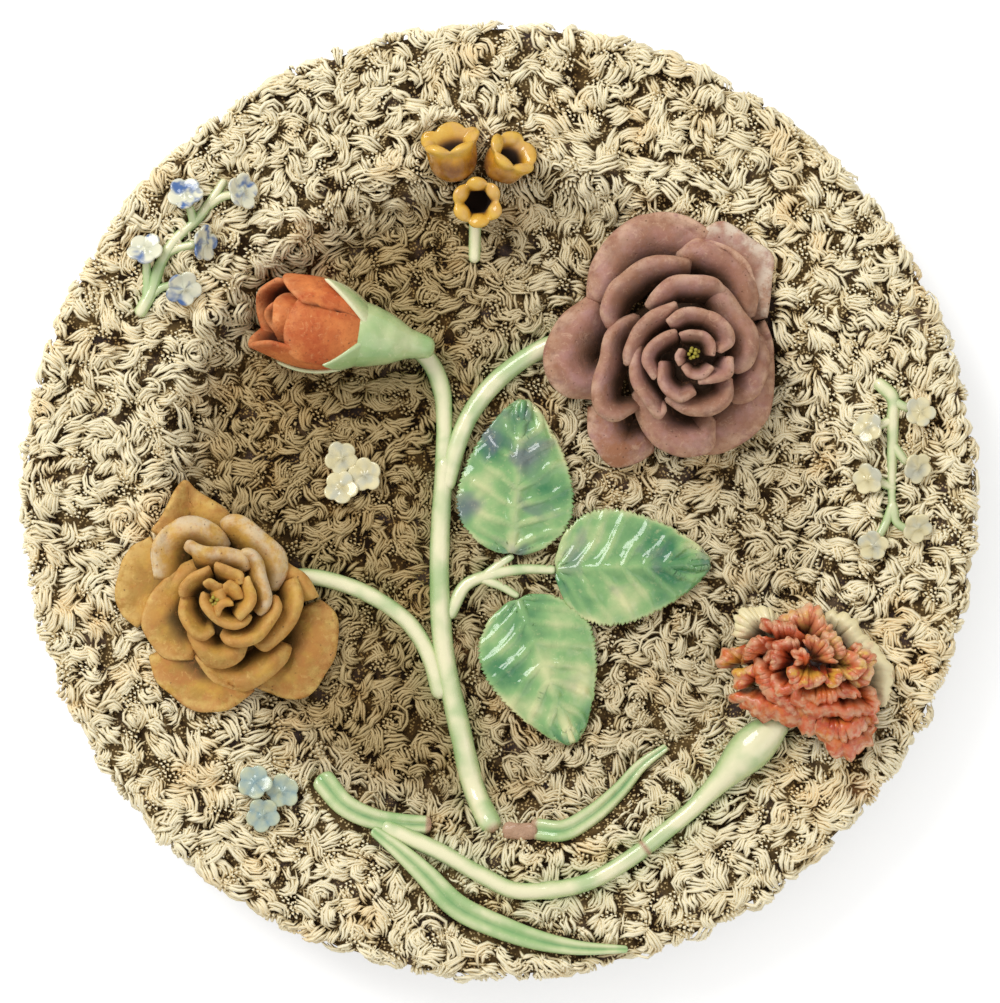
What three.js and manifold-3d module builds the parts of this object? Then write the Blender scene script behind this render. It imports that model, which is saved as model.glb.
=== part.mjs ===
// A round earthenware wall plate: a dish with a foot ring, covered with a bed of clay moss, and on the moss
// two full roses, a rosebud, a carnation, yellow blossoms, three rose leaves and small sprigs of flowers.
// Millimetres, +Z up. The plate lies on its foot ring, and the origin is the centre of the foot's underside.
// +Y points to the top of the picture on the plate. Places on the plate are shares of the plate's radius.
import * as THREE from "three";
import { mergeVertices } from "three/addons/utils/BufferGeometryUtils.js";
import Module from "manifold-3d";

const wasm = await Module();
wasm.setup();

// Dish
const plateRadius = 200;
const mossOverhang = 6;
const wallThickness = 8;
const footOuterRadius = 104;
const footWidth = 8;
const footHeight = 7;
const footInnerDraft = 1;
const footOuterDraft = 3;
const rimThinning = 1;
const undersideShift = 4;
const wellRadius = 122;
const slopeWidth = 26;
const wellDepth = 17;
const rimRise = 6;
const dishSegments = 40;

// Moss bed
const mossDepth = 5.5;
const mossLump = 0.7;
const edgeRaggedness = 1.6;

// Applied pieces
const seatGap = 0.3;
const stemRise = 0.42;
const archStep = 1;
const mainStemRadius = 4;
const roseStemRadius = 3.7;
const budStemRadius = 2.9;
const ochreStemRadius = 3.3;
const stalkRadius = 2.2;
const carnationStemRadius = 3.6;
const bladeHalfWidth = 5.1;
const bladeFlatness = 0.62;
const leafLength = 65;
const leafWidth = 51;
const leafThickness = 2.6;
const leafLift = 1.2;
const leafCrown = 3.2;
const leafQuilting = 0.9;
const midribGroove = 1.4;
const mauveRoseRadius = 53;
const mauveRoseHeight = 41;
const ochreRoseRadius = 49;
const ochreRoseHeight = 38;
const budLength = 52;
const budRadius = 19;
const sepalThickness = 1.6;
const carnationRadius = 37;
const carnationHeight = 32;
const petalThickness = 2.4;
const yellowCupRadius = 10;
const yellowCupHeight = 17;
const yellowCupFloor = 2.2;
const yellowStemRadius = 2.6;
const sprigStemRadius = 2.1;
const sprigFlowerRadius = 6.4;
const sprigFlowerThickness = 1.8;
const leftSprigFlowerRadius = 7.4;
const sprigFlowerLift = 4.5;
const clusterFlowerRadius = 7;
const clusterFlowerLift = 4;
const clusterStep = 0.9;

const wellFloor = footHeight + wallThickness;
const rimRadius = plateRadius - mossOverhang;
const shoulderRadius = wellRadius + slopeWidth;
const rimTop = wellFloor + wellDepth + rimRise;
const degrees = Math.PI / 180;

// Repeatable scatter between -1 and 1.
const scatter = (seed) => {
  const value = Math.sin(seed * 12.9898 + 4.1) * 43758.5453;
  return 2 * (value - Math.floor(value)) - 1;
};
const ease = (x) => x * x * (3 - 2 * x);
const clamp01 = (x) => Math.min(1, Math.max(0, x));

// Height of the bare dish's upper face: a flat well, a soft slope and a rising rim.
function dishTop(radius) {
  const slope = ease(clamp01((radius - wellRadius) / slopeWidth));
  const rim = clamp01((radius - shoulderRadius) / (rimRadius - shoulderRadius));
  return wellFloor + wellDepth * slope + rimRise * rim;
}
const mossTop = (radius) => dishTop(Math.min(radius, rimRadius)) + mossDepth;

// Solids

function solid(points, triangles, matrix = new THREE.Matrix4()) {
  const placed = points.flatMap((point) => point.clone().applyMatrix4(matrix).toArray());
  const mesh = new wasm.Mesh({
    numProp: 3,
    vertProperties: new Float32Array(placed),
    triVerts: new Uint32Array(triangles),
  });
  const made = new wasm.Manifold(mesh);
  if (made.volume() > 0) return made;
  for (let i = 0; i < triangles.length; i += 3) {
    [triangles[i + 1], triangles[i + 2]] = [triangles[i + 2], triangles[i + 1]];
  }
  return new wasm.Manifold(new wasm.Mesh({ ...mesh, triVerts: new Uint32Array(triangles) }));
}

// The edge of a grid of points, in order, as index numbers.
function gridEdge(rows, columns) {
  const wide = columns + 1;
  const edge = [];
  for (let j = 0; j < columns; j++) edge.push(j);
  for (let i = 0; i < rows; i++) edge.push(i * wide + columns);
  for (let j = columns; j > 0; j--) edge.push(rows * wide + j);
  for (let i = rows; i > 0; i--) edge.push(i * wide);
  return edge;
}

// Points and triangles of an open face, a function of s and t from 0 to 1.
function gridFace(rows, columns, face) {
  const points = [];
  const triangles = [];
  for (let i = 0; i <= rows; i++) {
    for (let j = 0; j <= columns; j++) points.push(face(i / rows, j / columns));
  }
  for (let i = 0; i < rows; i++) {
    for (let j = 0; j < columns; j++) {
      const corner = i * (columns + 1) + j;
      const far = corner + columns + 1;
      triangles.push(corner, far, far + 1, corner, far + 1, corner + 1);
    }
  }
  return { points, triangles };
}

// A closed piece with a modelled upper face and a flat underside at a height.
function flatBackedSolid(rows, columns, upper, underside, matrix) {
  const { points, triangles } = gridFace(rows, columns, upper);
  const edge = gridEdge(rows, columns);
  const below = points.length;
  edge.forEach((corner) => points.push(points[corner].clone().setZ(underside)));
  const middle = points.push(upper(0.5, 0.5).setZ(underside)) - 1;
  edge.forEach((corner, k) => {
    const beside = (k + 1) % edge.length;
    triangles.push(corner, edge[beside], below + beside, corner, below + beside, below + k);
    triangles.push(below + k, below + beside, middle);
  });
  return solid(points, triangles, matrix);
}

// A closed body around an axis: ring(i, angle) gives a point of ring i, and two poles close its ends.
function ringSolid(rings, segments, ring, startPole, endPole, matrix) {
  const points = [];
  for (let i = 0; i < rings; i++) {
    for (let j = 0; j < segments; j++) points.push(ring(i, (2 * Math.PI * j) / segments));
  }
  const start = points.push(startPole) - 1;
  const end = points.push(endPole) - 1;
  const triangles = [];
  for (let j = 0; j < segments; j++) {
    const next = (j + 1) % segments;
    triangles.push(start, next, j);
    const last = (rings - 1) * segments;
    triangles.push(end, last + j, last + next);
    for (let i = 0; i < rings - 1; i++) {
      const a = i * segments;
      triangles.push(a + j, a + next, a + segments + next, a + j, a + segments + next, a + segments + j);
    }
  }
  return solid(points, triangles, matrix);
}

// A solid turned from a profile of [radius, height] pairs that starts and ends on the axis.
function turned(profile, segments, matrix = new THREE.Matrix4()) {
  const lathe = new THREE.LatheGeometry(profile.map(([r, h]) => new THREE.Vector2(r, h)), segments);
  lathe.deleteAttribute("normal");
  lathe.deleteAttribute("uv");
  const merged = mergeVertices(lathe.rotateX(Math.PI / 2), 1e-4);
  const corners = Array.from(merged.index.array);
  const triangles = [];
  for (let i = 0; i < corners.length; i += 3) {
    const face = corners.slice(i, i + 3);
    if (new Set(face).size === 3) triangles.push(...face);
  }
  const position = merged.getAttribute("position");
  const points = [];
  for (let i = 0; i < position.count; i++) points.push(new THREE.Vector3().fromBufferAttribute(position, i));
  return solid(points, triangles, matrix);
}

// A round or flattened bar along a route of points; radiusAt gives its half width along the route.
function bar(route, radiusAt, { flat = 1, sides = 7, steps = 8 } = {}) {
  const curve = new THREE.CatmullRomCurve3(route, false, "centripetal");
  const up = new THREE.Vector3(0, 0, 1);
  const across = (share) => new THREE.Vector3().crossVectors(up, curve.getTangentAt(share)).normalize();
  const ring = (i, angle) => {
    const share = i / steps;
    const half = radiusAt(share);
    const middle = curve.getPointAt(share);
    middle.addScaledVector(across(share), half * Math.cos(angle));
    const raise = new THREE.Vector3().crossVectors(curve.getTangentAt(share), across(share));
    return middle.addScaledVector(raise, half * flat * Math.sin(angle));
  };
  return ringSolid(steps + 1, sides, ring, curve.getPointAt(0), curve.getPointAt(1));
}

const joined = (pieces) => wasm.Manifold.union(pieces);

// The largest body of a cut piece, without the crumbs that a cut leaves.
function largest(piece) {
  return piece.decompose().reduce((a, b) => (a.volume() > b.volume() ? a : b));
}

// Dish

function makeDish() {
  const footInnerRadius = footOuterRadius - footWidth;
  const underside = [
    [0, footHeight],
    [footInnerRadius, footHeight],
    [footInnerRadius + footInnerDraft, 0],
    [footOuterRadius, 0],
    [footOuterRadius + footOuterDraft, footHeight],
    [shoulderRadius + undersideShift, dishTop(shoulderRadius) - wallThickness],
    [rimRadius, rimTop - wallThickness + rimThinning],
  ];
  return turned([...underside, ...dishUpperProfile().reverse()], dishSegments);
}

// The dish's upper face as [radius, height] pairs from the middle to the rim.
function dishUpperProfile() {
  const slope = [0, 0.34, 0.67, 1].map((share) => wellRadius + slopeWidth * share);
  return [0, ...slope, rimRadius].map((radius) => [radius, dishTop(radius)]);
}

// Moss bed

// Rings of the moss from the middle of its upper face over the rim's edge: [radius, height, lumpiness].
function mossOuterRings() {
  const rims = [0.34, 0.67].map((share) => shoulderRadius + (rimRadius - shoulderRadius) * share);
  const slope = dishUpperProfile().slice(1).map(([radius]) => radius);
  const radii = [wellRadius * 0.34, wellRadius * 0.67, ...slope, ...rims].sort((a, b) => a - b);
  const top = radii.map((radius) => [radius, mossTop(radius), 1]);
  const under = [plateRadius - rimThinning, rimTop - wallThickness + rimThinning, 0];
  return [...top, [plateRadius, rimTop, 0], under];
}

function mossRing([radius, height, lumpiness], index, angle) {
  const seed = index * 131 + Math.round((angle / (2 * Math.PI)) * dishSegments);
  const offAxis = Math.abs(Math.sin(2 * angle));
  const ragged = lumpiness === 0 ? edgeRaggedness * offAxis * Math.min(0, scatter(seed + 7)) : 0;
  const rise = mossLump * lumpiness * scatter(seed);
  return new THREE.Vector3(
    (radius + ragged) * Math.cos(angle),
    (radius + ragged) * Math.sin(angle),
    height + rise,
  );
}

function makeMoss() {
  const outer = mossOuterRings();
  const inner = [...dishUpperProfile().slice(1), [rimRadius, rimTop - wallThickness + 2 * rimThinning]];
  const seat = inner.map(([r, h]) => [r >= rimRadius ? r + seatGap : r, h + 1.3 * seatGap]).reverse();
  const ring = (i, angle) => {
    if (i < outer.length) return mossRing(outer[i], i, angle);
    const [radius, height] = seat[i - outer.length];
    return new THREE.Vector3(radius * Math.cos(angle), radius * Math.sin(angle), height);
  };
  const top = new THREE.Vector3(0, 0, mossTop(0));
  const bottom = new THREE.Vector3(0, 0, wellFloor + seatGap);
  return ringSolid(outer.length + seat.length, dishSegments, ring, top, bottom);
}

// Applied pieces are pressed down to this height: they touch the moss's highest lumps but for a seat gap.
const seatHeight = (radius) => mossTop(radius) + mossLump + seatGap;

function makeGround() {
  const seat = dishUpperProfile().map(([radius]) => [radius, seatHeight(radius)]);
  const skirt = [[plateRadius * 1.1, seatHeight(plateRadius)], [plateRadius * 1.1, 0], [0, 0]];
  return turned([...seat, ...skirt].reverse(), dishSegments);
}
const ground = makeGround();
const pressed = (piece) => largest(piece.subtract(ground));

// A place on the moss: x and y in shares of the plate's radius, and a height above the moss.
function spot(x, y, lift = 0) {
  const radius = plateRadius * Math.hypot(x, y);
  return new THREE.Vector3(plateRadius * x, plateRadius * y, mossTop(radius) + lift);
}

// A place on the well's slope: its share of the way up the slope, and its angle around the plate in degrees.
function slopePlace(up, around) {
  const share = (wellRadius + up * slopeWidth) / plateRadius;
  return [share * Math.cos(around * degrees), share * Math.sin(around * degrees)];
}

// The centre line of a stem that is half sunk in the moss: [x, y, steps that it arches up] places.
function stemLine(radius, places) {
  return places.map(([x, y, arch = 0]) => spot(x, y, stemRise * radius + arch * archStep));
}

// Stems

const roseStemRoutes = {
  main: [[-0.022, -0.675], [-0.05, -0.62], [-0.085, -0.48], [-0.118, -0.32], [-0.128, -0.16],
    [-0.124, -0.02], [-0.117, 0.08]],
  mauve: [[-0.113, 0.04], [-0.094, 0.11], [-0.062, 0.185], [-0.012, 0.25], [0.05, 0.3],
    [0.12, 0.335, 2], [0.2, 0.345, 4]],
  bud: [[-0.122, 0.06], [-0.118, 0.17], [-0.122, 0.23], [-0.145, 0.29], [-0.19, 0.335, 2],
    [-0.235, 0.352, 4]],
  ochre: [[-0.128, -0.4], [-0.15, -0.325], [-0.19, -0.26], [-0.25, -0.212], [-0.32, -0.178],
    [-0.41, -0.158, 2], [-0.5, -0.17, 3]],
  stalk: [[-0.105, -0.235], [-0.07, -0.175], [-0.02, -0.155], [0.05, -0.143], [0.11, -0.144, 1]],
  stalkUpper: [[-0.03, -0.157], [-0.004, -0.135], [0.023, -0.117]],
  stalkLower: [[-0.035, -0.165], [0.0, -0.178], [0.034, -0.198]],
};

const taper = (start, end) => (share) => start + (end - start) * share;

// Each stem, wider all round by grow.
const stems = {
  main: (grow) => {
    const line = stemLine(mainStemRadius, roseStemRoutes.main);
    return bar(line, taper(1.12 * mainStemRadius + grow, 0.9 * mainStemRadius + grow), { steps: 9 });
  },
  mauve: (grow) => {
    const line = stemLine(roseStemRadius, roseStemRoutes.mauve);
    return bar(line, () => roseStemRadius + grow, { steps: 10 });
  },
  bud: (grow) => {
    const line = stemLine(budStemRadius, roseStemRoutes.bud);
    return bar(line, taper(budStemRadius + grow, 1.35 * budStemRadius + grow));
  },
  ochre: (grow) => {
    const line = stemLine(ochreStemRadius, roseStemRoutes.ochre);
    return bar(line, () => ochreStemRadius + grow, { steps: 9 });
  },
  stalk: (grow) => {
    const part = (places, start, end) =>
      bar(stemLine(stalkRadius, places), taper(start * stalkRadius + grow, end * stalkRadius + grow), {
        sides: 6,
        steps: 5,
      });
    return joined([
      part(roseStemRoutes.stalk, 1.25, 0.8),
      part(roseStemRoutes.stalkUpper, 1, 0.6),
      part(roseStemRoutes.stalkLower, 0.9, 0.6),
    ]);
  },
};

// Rose leaves

// Half the leaf's width along its length: broad near the stalk and pointed at the tip.
function leafHalfWidth(share) {
  const round = Math.pow(Math.sin(Math.PI * Math.pow(share, 0.78)), 0.62);
  return (leafWidth / 2) * Math.max(0.04, round) * (1 - 0.1 * share);
}

// Height of the leaf's upper face: quilted between the side veins, with a groove along the midrib.
function leafRelief(share, side) {
  const away = Math.abs(side);
  const veins = leafQuilting * Math.sin(2 * Math.PI * (share * 4.5 - 1.3 * away));
  const crown = leafCrown * Math.sin(Math.PI * clamp01(share)) * (1 - away * away * 0.8);
  return crown + veins * away * (1 - away * 0.6) - midribGroove * Math.exp(-away * 9);
}

// A leaf that starts a seat gap past the end of its stalk, turned to an angle in degrees, wider by grow.
function leaf({ stalk, angle, lift }, grow = 0) {
  const [x, y] = roseStemRoutes[stalk].at(-1);
  const matrix = new THREE.Matrix4().makeRotationZ(angle * degrees);
  matrix.multiply(new THREE.Matrix4().makeTranslation(seatGap, 0, 0));
  matrix.premultiply(new THREE.Matrix4().makeTranslation(...spot(x, y).setZ(seatHeight(0)).toArray()));
  const face = (s, t) => {
    const side = 2 * t - 1;
    const z = leafThickness + lift + leafRelief(s, side) + grow;
    return new THREE.Vector3(leafLength * s + grow * (2 * s - 1), (leafHalfWidth(s) + grow) * side, z);
  };
  return flatBackedSolid(9, 6, face, -grow, matrix);
}
const leafPlaces = {
  leaf_top: { stalk: "stalkUpper", angle: 85.5, lift: 0 },
  leaf_right: { stalk: "stalk", angle: 2.6, lift: leafLift },
  leaf_bottom: { stalk: "stalkLower", angle: -69, lift: 0 },
};

// Whorls of petals

// The shorter turn between two angles in degrees.
const turnBetween = (a, b) => Math.abs(((((a - b) % 360) + 540) % 360) - 180);

// Reach and height of a whorl's lip at an angle: the furthest petal wins, and the lip dips between petals.
function lipAt(petals, angle) {
  let best = [0, 0];
  for (const [azimuth, reach, height, spread] of petals) {
    const away = Math.min(1.3, turnBetween(angle / degrees, azimuth) / spread);
    const fall = 1 - 0.26 * away ** 3;
    if (reach * fall > best[0]) best = [reach * fall, height * (1 - 0.2 * away ** 2)];
  }
  return best;
}

// A whorl of petals as one cup with a scalloped lip, in an upright flower of the given radius and height.
// Its lip rolls outwards by roll, and openness runs from 0 for an upright cup to 1 for a flat whorl.
function whorl(shape, radius, tall, matrix, thickness = petalThickness, grow = 0) {
  const { petals, segments, foot, roll, openness } = shape;
  const belly = 0.86 - 0.16 * openness;
  const out = -thickness * (1 - openness * 0.75);
  const up = thickness * openness;
  // Rings from the underside over the lip to the inner face: [share of the reach, share of the rise, inside].
  const rings = [[0.3, 0, 0], [belly, 0.45 + 0.4 * openness, 0], [1, 1 - roll, 0], [1, 1 - roll * 0.6, 1],
    [belly - 0.08, 0.5 + 0.45 * openness, 1]];
  const ring = (i, angle) => {
    const [across, rise, inside] = rings[i];
    const [reach, height] = lipAt(petals, angle);
    const distance = radius * reach * across + (inside ? out - grow : grow);
    const level = tall * (foot + (height - foot) * rise) + up * inside + (across === 1 ? grow : 0);
    return new THREE.Vector3(distance * Math.cos(angle), distance * Math.sin(angle), level);
  };
  const under = new THREE.Vector3(0, 0, tall * foot - grow);
  const inner = new THREE.Vector3(0, 0, tall * foot + thickness + grow);
  return ringSolid(rings.length, segments, ring, under, inner, matrix);
}

// Petals as [azimuth in degrees, reach and height as shares of the flower's, half of the petal's angle].
const mauveWhorls = [
  { segments: 18, foot: 0.08, roll: 0.3, openness: 1, petals: [[102, 0.99, 0.5, 42], [184, 0.92, 0.46, 34],
    [248, 1.06, 0.32, 24], [283, 0.96, 0.4, 24], [321, 1.07, 0.42, 24], [352, 0.92, 0.45, 22],
    [36, 1.03, 0.42, 26], [64, 0.94, 0.5, 24]] },
  { segments: 16, foot: 0.22, roll: 0.14, openness: 0.5, petals: [[115, 0.74, 0.78, 42],
    [200, 0.74, 0.74, 34], [256, 0.62, 0.78, 22], [298, 0.64, 0.8, 32], [26, 0.64, 0.84, 46]] },
  { segments: 12, foot: 0.4, roll: 0.05, openness: 0.1, petals: [[98, 0.39, 0.94, 36], [4, 0.38, 0.9, 42],
    [250, 0.38, 0.9, 42], [176, 0.32, 0.95, 32]] },
  { segments: 9, foot: 0.6, roll: 0.02, openness: 0, petals: [[60, 0.17, 0.97, 50], [180, 0.16, 0.95, 50],
    [300, 0.17, 0.94, 50]] },
];
const ochreWhorls = [
  { segments: 18, foot: 0.08, roll: 0.26, openness: 1, petals: [[112, 1.05, 0.34, 20], [166, 0.95, 0.46, 34],
    [250, 0.98, 0.4, 36], [318, 1.1, 0.4, 32], [352, 0.82, 0.36, 24], [60, 0.68, 0.4, 34]] },
  { segments: 16, foot: 0.2, roll: 0.16, openness: 0.6, petals: [[128, 0.8, 0.66, 36], [58, 0.64, 0.64, 42],
    [204, 0.76, 0.64, 34], [284, 0.8, 0.6, 38], [346, 0.7, 0.66, 32]] },
  { segments: 12, foot: 0.36, roll: 0.08, openness: 0.2, petals: [[95, 0.46, 0.84, 44], [14, 0.48, 0.84, 38],
    [300, 0.5, 0.78, 38], [214, 0.47, 0.82, 44]] },
  { segments: 9, foot: 0.58, roll: 0.02, openness: 0, petals: [[70, 0.24, 0.95, 50], [190, 0.2, 0.92, 50],
    [310, 0.22, 0.9, 50]] },
];

// Matrix that leans an upright flower sideways as it rises and sets it on the moss.
function standing({ place, lean }, height) {
  const leaning = new THREE.Matrix4().makeShear(0, 0, 0, 0, lean[0] / height, lean[1] / height);
  return leaning.setPosition(spot(...place, -petalThickness / 2));
}

// Matrix that turns an upright flower to face an azimuth at an elevation, both in degrees.
function facing(place, azimuth, elevation) {
  const axis = new THREE.Vector3(
    Math.cos(azimuth * degrees) * Math.cos(elevation * degrees),
    Math.sin(azimuth * degrees) * Math.cos(elevation * degrees),
    Math.sin(elevation * degrees),
  );
  const turn = new THREE.Quaternion().setFromUnitVectors(new THREE.Vector3(0, 0, 1), axis);
  return new THREE.Matrix4().compose(place, turn, new THREE.Vector3(1, 1, 1));
}

function rose(whorls, radius, height, matrix) {
  const core = turned(
    [[0, 0], [radius * 0.4, 0], [radius * 0.36, height * 0.3], [radius * 0.2, height * 0.55],
      [radius * 0.06, height * 0.66], [0, height * 0.66]],
    8,
    matrix,
  );
  return joined([core, ...whorls.map((layer) => whorl(layer, radius, height, matrix))]);
}

const mauveRose = { place: [0.335, 0.338], lean: [14, -6] };
const ochreRose = { place: [-0.562, -0.196], lean: [-5, -3] };

// Rosebud: closed petals that lie on their side, in a calyx that grows from its stem.

const budFrame = facing(spot(-0.262, 0.354, budRadius * 0.72), 169, 16);
const budWhorls = [
  { segments: 16, foot: 0.06, roll: 0.08, openness: 0.1, petals: [[240, 1.3, 0.98, 70], [150, 1.15, 1.04, 48],
    [75, 1.02, 1.0, 42], [0, 0.95, 0.9, 44], [315, 1.05, 0.86, 34]] },
  { segments: 12, foot: 0.3, roll: 0.02, openness: 0, petals: [[20, 0.62, 0.92, 60], [140, 0.6, 0.95, 60],
    [260, 0.58, 0.88, 60]] },
];
const sepalWhorl = { segments: 15, foot: 0.04, roll: 0.06, openness: 0.1, petals: [[18, 1.12, 0.5, 24],
  [90, 1.16, 0.54, 24], [162, 1.16, 0.5, 24], [234, 1.36, 0.62, 26], [306, 1.2, 0.5, 26]] };

function rosebudPetals() {
  return joined(budWhorls.map((layer) => whorl(layer, budRadius, budLength, budFrame)));
}

function rosebudCalyx(grow = 0) {
  const throat = budStemRadius * 1.5 + grow;
  const cup = turned(
    [[0, -budLength * 0.34], [throat, -budLength * 0.34], [throat * 1.4, -budLength * 0.1],
      [budRadius * 0.55 + grow, budLength * 0.06], [0, budLength * 0.14 + grow]],
    8,
    budFrame,
  );
  return joined([cup, whorl(sepalWhorl, budRadius, budLength, budFrame, sepalThickness, grow)]);
}

// Carnation

const carnationFrame = facing(spot(0.575, -0.44, carnationHeight * 0.16), 47, 56);
// The carnation's whorls: [reach, foot, height, openness, number of ruffles, turn in degrees].
const carnationWhorls = [
  [1.0, 0.12, 0.56, 0.9, 8, 0],
  [0.78, 0.36, 0.8, 0.6, 6, 20],
  [0.46, 0.55, 1.0, 0.3, 4, 50],
];

function carnationHead() {
  const foot = carnationHeight / 16;
  const core = turned(
    [[0, foot], [carnationRadius * 0.4, foot], [carnationRadius * 0.35, carnationHeight * 0.5],
      [carnationRadius * 0.1, carnationHeight * 0.78], [0, carnationHeight * 0.78]],
    8,
    carnationFrame,
  );
  const ruffled = carnationWhorls.map(([reach, start, height, openness, ruffles, turn]) => {
    const petals = Array.from({ length: ruffles }, (_, k) => [
      turn + (360 * k) / ruffles,
      reach * (k % 2 ? 0.9 : 1),
      height * (k % 2 ? 1 : 0.86),
      180 / ruffles,
    ]);
    const layer = { petals, segments: ruffles * 2, foot: start, roll: 0.1, openness };
    return whorl(layer, carnationRadius, carnationHeight, carnationFrame);
  });
  return joined([core, ...ruffled]);
}

const carnationStemRoute = [[-0.235, -0.685, -2], [-0.12, -0.735], [-0.04, -0.78], [0.03, -0.812],
  [0.1, -0.812], [0.18, -0.796], [0.27, -0.747], [0.345, -0.69], [0.4, -0.645], [0.44, -0.605, 1],
  [0.5, -0.54, 3], [0.57, -0.47, 5]];

function carnationStem(grow = 0) {
  const calyxSwell = (s) => Math.exp(-(((s - 0.93) / 0.085) ** 2));
  const radiusAt = (s) => carnationStemRadius * (1 + 1.5 * calyxSwell(s)) + grow;
  return bar(stemLine(carnationStemRadius, carnationStemRoute), radiusAt, { sides: 6, steps: 18 });
}

// Narrow leaves of the carnation, with their half width along the route.
const blades = {
  blade_short: {
    places: [[-0.37, -0.585, 2], [-0.325, -0.635, 1], [-0.262, -0.665], [-0.2, -0.675], [-0.155, -0.678]],
    half: (s) => bladeHalfWidth * (1 - 0.23 * s),
  },
  blade_long: {
    places: [[-0.262, -0.69], [-0.21, -0.73, 1], [-0.16, -0.775, 1], [-0.09, -0.845], [0, -0.888],
      [0.08, -0.915], [0.16, -0.93], [0.262, -0.933]],
    half: (s) => bladeHalfWidth * (0.2 + Math.sin(Math.PI * (s * 0.87 + 0.08)) * (1 - 0.35 * s)),
  },
  blade_right: {
    places: [[0.075, -0.687], [0.13, -0.69], [0.19, -0.66], [0.25, -0.61], [0.3, -0.555, 1],
      [0.348, -0.52, 1]],
    half: (s) => bladeHalfWidth * (0.9 - 0.56 * s * s),
  },
};

function blade({ places, half }, grow = 0) {
  const line = stemLine(bladeHalfWidth * bladeFlatness, places);
  return bar(line, (share) => half(share) + grow, { flat: bladeFlatness, sides: 6, steps: 9 });
}

// Bare clay where a stem has broken away beside the foot of the main stem.
const scarPlaces = [[0.015, -0.69], [0.045, -0.692], [0.066, -0.69]];
const scarHalfWidth = 0.9 * mainStemRadius;
const breakScar = () => bar(stemLine(0, scarPlaces), () => scarHalfWidth, { flat: 0.6, sides: 6, steps: 2 });

// Yellow blossoms: thin cups with a scalloped lip, hollow inside.

const yellowCups = {
  yellow_blossom_left: { place: slopePlace(0.67, 98), lift: 1, azimuth: 82, elevation: 38, radius: 1.12 },
  yellow_blossom_right: { place: slopePlace(0.65, 89), lift: 1, azimuth: 62, elevation: 48, radius: 0.95 },
  yellow_blossom_front: {
    place: slopePlace(0.2, 94.2), lift: 0.55, azimuth: 270, elevation: 84, radius: 0.95,
  },
};

// A cup, larger all round by grow; a filled one is as wide but without its hollow. Its lift over the moss is
// a share of its radius.
function yellowCup({ place, lift, azimuth, elevation, radius }, grow = 0, filled = false) {
  const size = yellowCupRadius * radius;
  const matrix = facing(spot(...place, size * lift), azimuth, elevation);
  const wall = [[0.5, 0], [1, 0.45], [1, 1]];
  const inside = filled ? [] : [[0.86, 1], [0.8, 0.4]];
  const rings = [...wall.map(([r, h]) => [r, h, grow]), ...inside.map(([r, h]) => [r, h, -grow])];
  const ring = (i, angle) => {
    const [r, h, out] = rings[i];
    const lobe = 1 + 0.09 * h * Math.cos(6 * angle);
    const distance = size * r * lobe + out;
    const rise = yellowCupHeight * h * (1 + 0.07 * Math.cos(6 * angle)) - size * 0.5;
    const level = rise + grow * Math.floor(h);
    return new THREE.Vector3(distance * Math.cos(angle), distance * Math.sin(angle), level);
  };
  const foot = new THREE.Vector3(0, 0, -size * 0.5 - grow);
  const floor = new THREE.Vector3(0, 0, (filled ? yellowCupHeight + grow : yellowCupFloor) - size * 0.5);
  return ringSolid(rings.length, 12, ring, foot, floor, matrix);
}

function yellowStem() {
  const places = [slopePlace(-0.7, 96), slopePlace(-0.36, 95.4), [...slopePlace(0.1, 94.8), 1]];
  const line = stemLine(yellowStemRadius, places);
  return bar(line, () => yellowStemRadius, { sides: 6, steps: 2 });
}

// Small flowers: a lobed disc whose underside runs down as a funnel to the stem or the moss.

function smallFlower({ place, radius, lobes = 6, lift, azimuth = 0, elevation = 90 }, grow = 0) {
  const matrix = facing(spot(...place, lift), azimuth, elevation);
  const ring = (i, angle) => {
    const lobe = 0.88 + 0.12 * Math.cos(lobes * angle);
    const distance = radius * lobe + grow;
    const up = radius * 0.08 + (i === 0 ? grow : -sprigFlowerThickness - grow);
    return new THREE.Vector3(distance * Math.cos(angle), distance * Math.sin(angle), up);
  };
  const eye = new THREE.Vector3(0, 0, radius * 0.06 + grow);
  const funnel = new THREE.Vector3(0, 0, -lift - 2 * grow);
  return ringSolid(2, lobes * 2, ring, eye, funnel, matrix);
}

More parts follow.
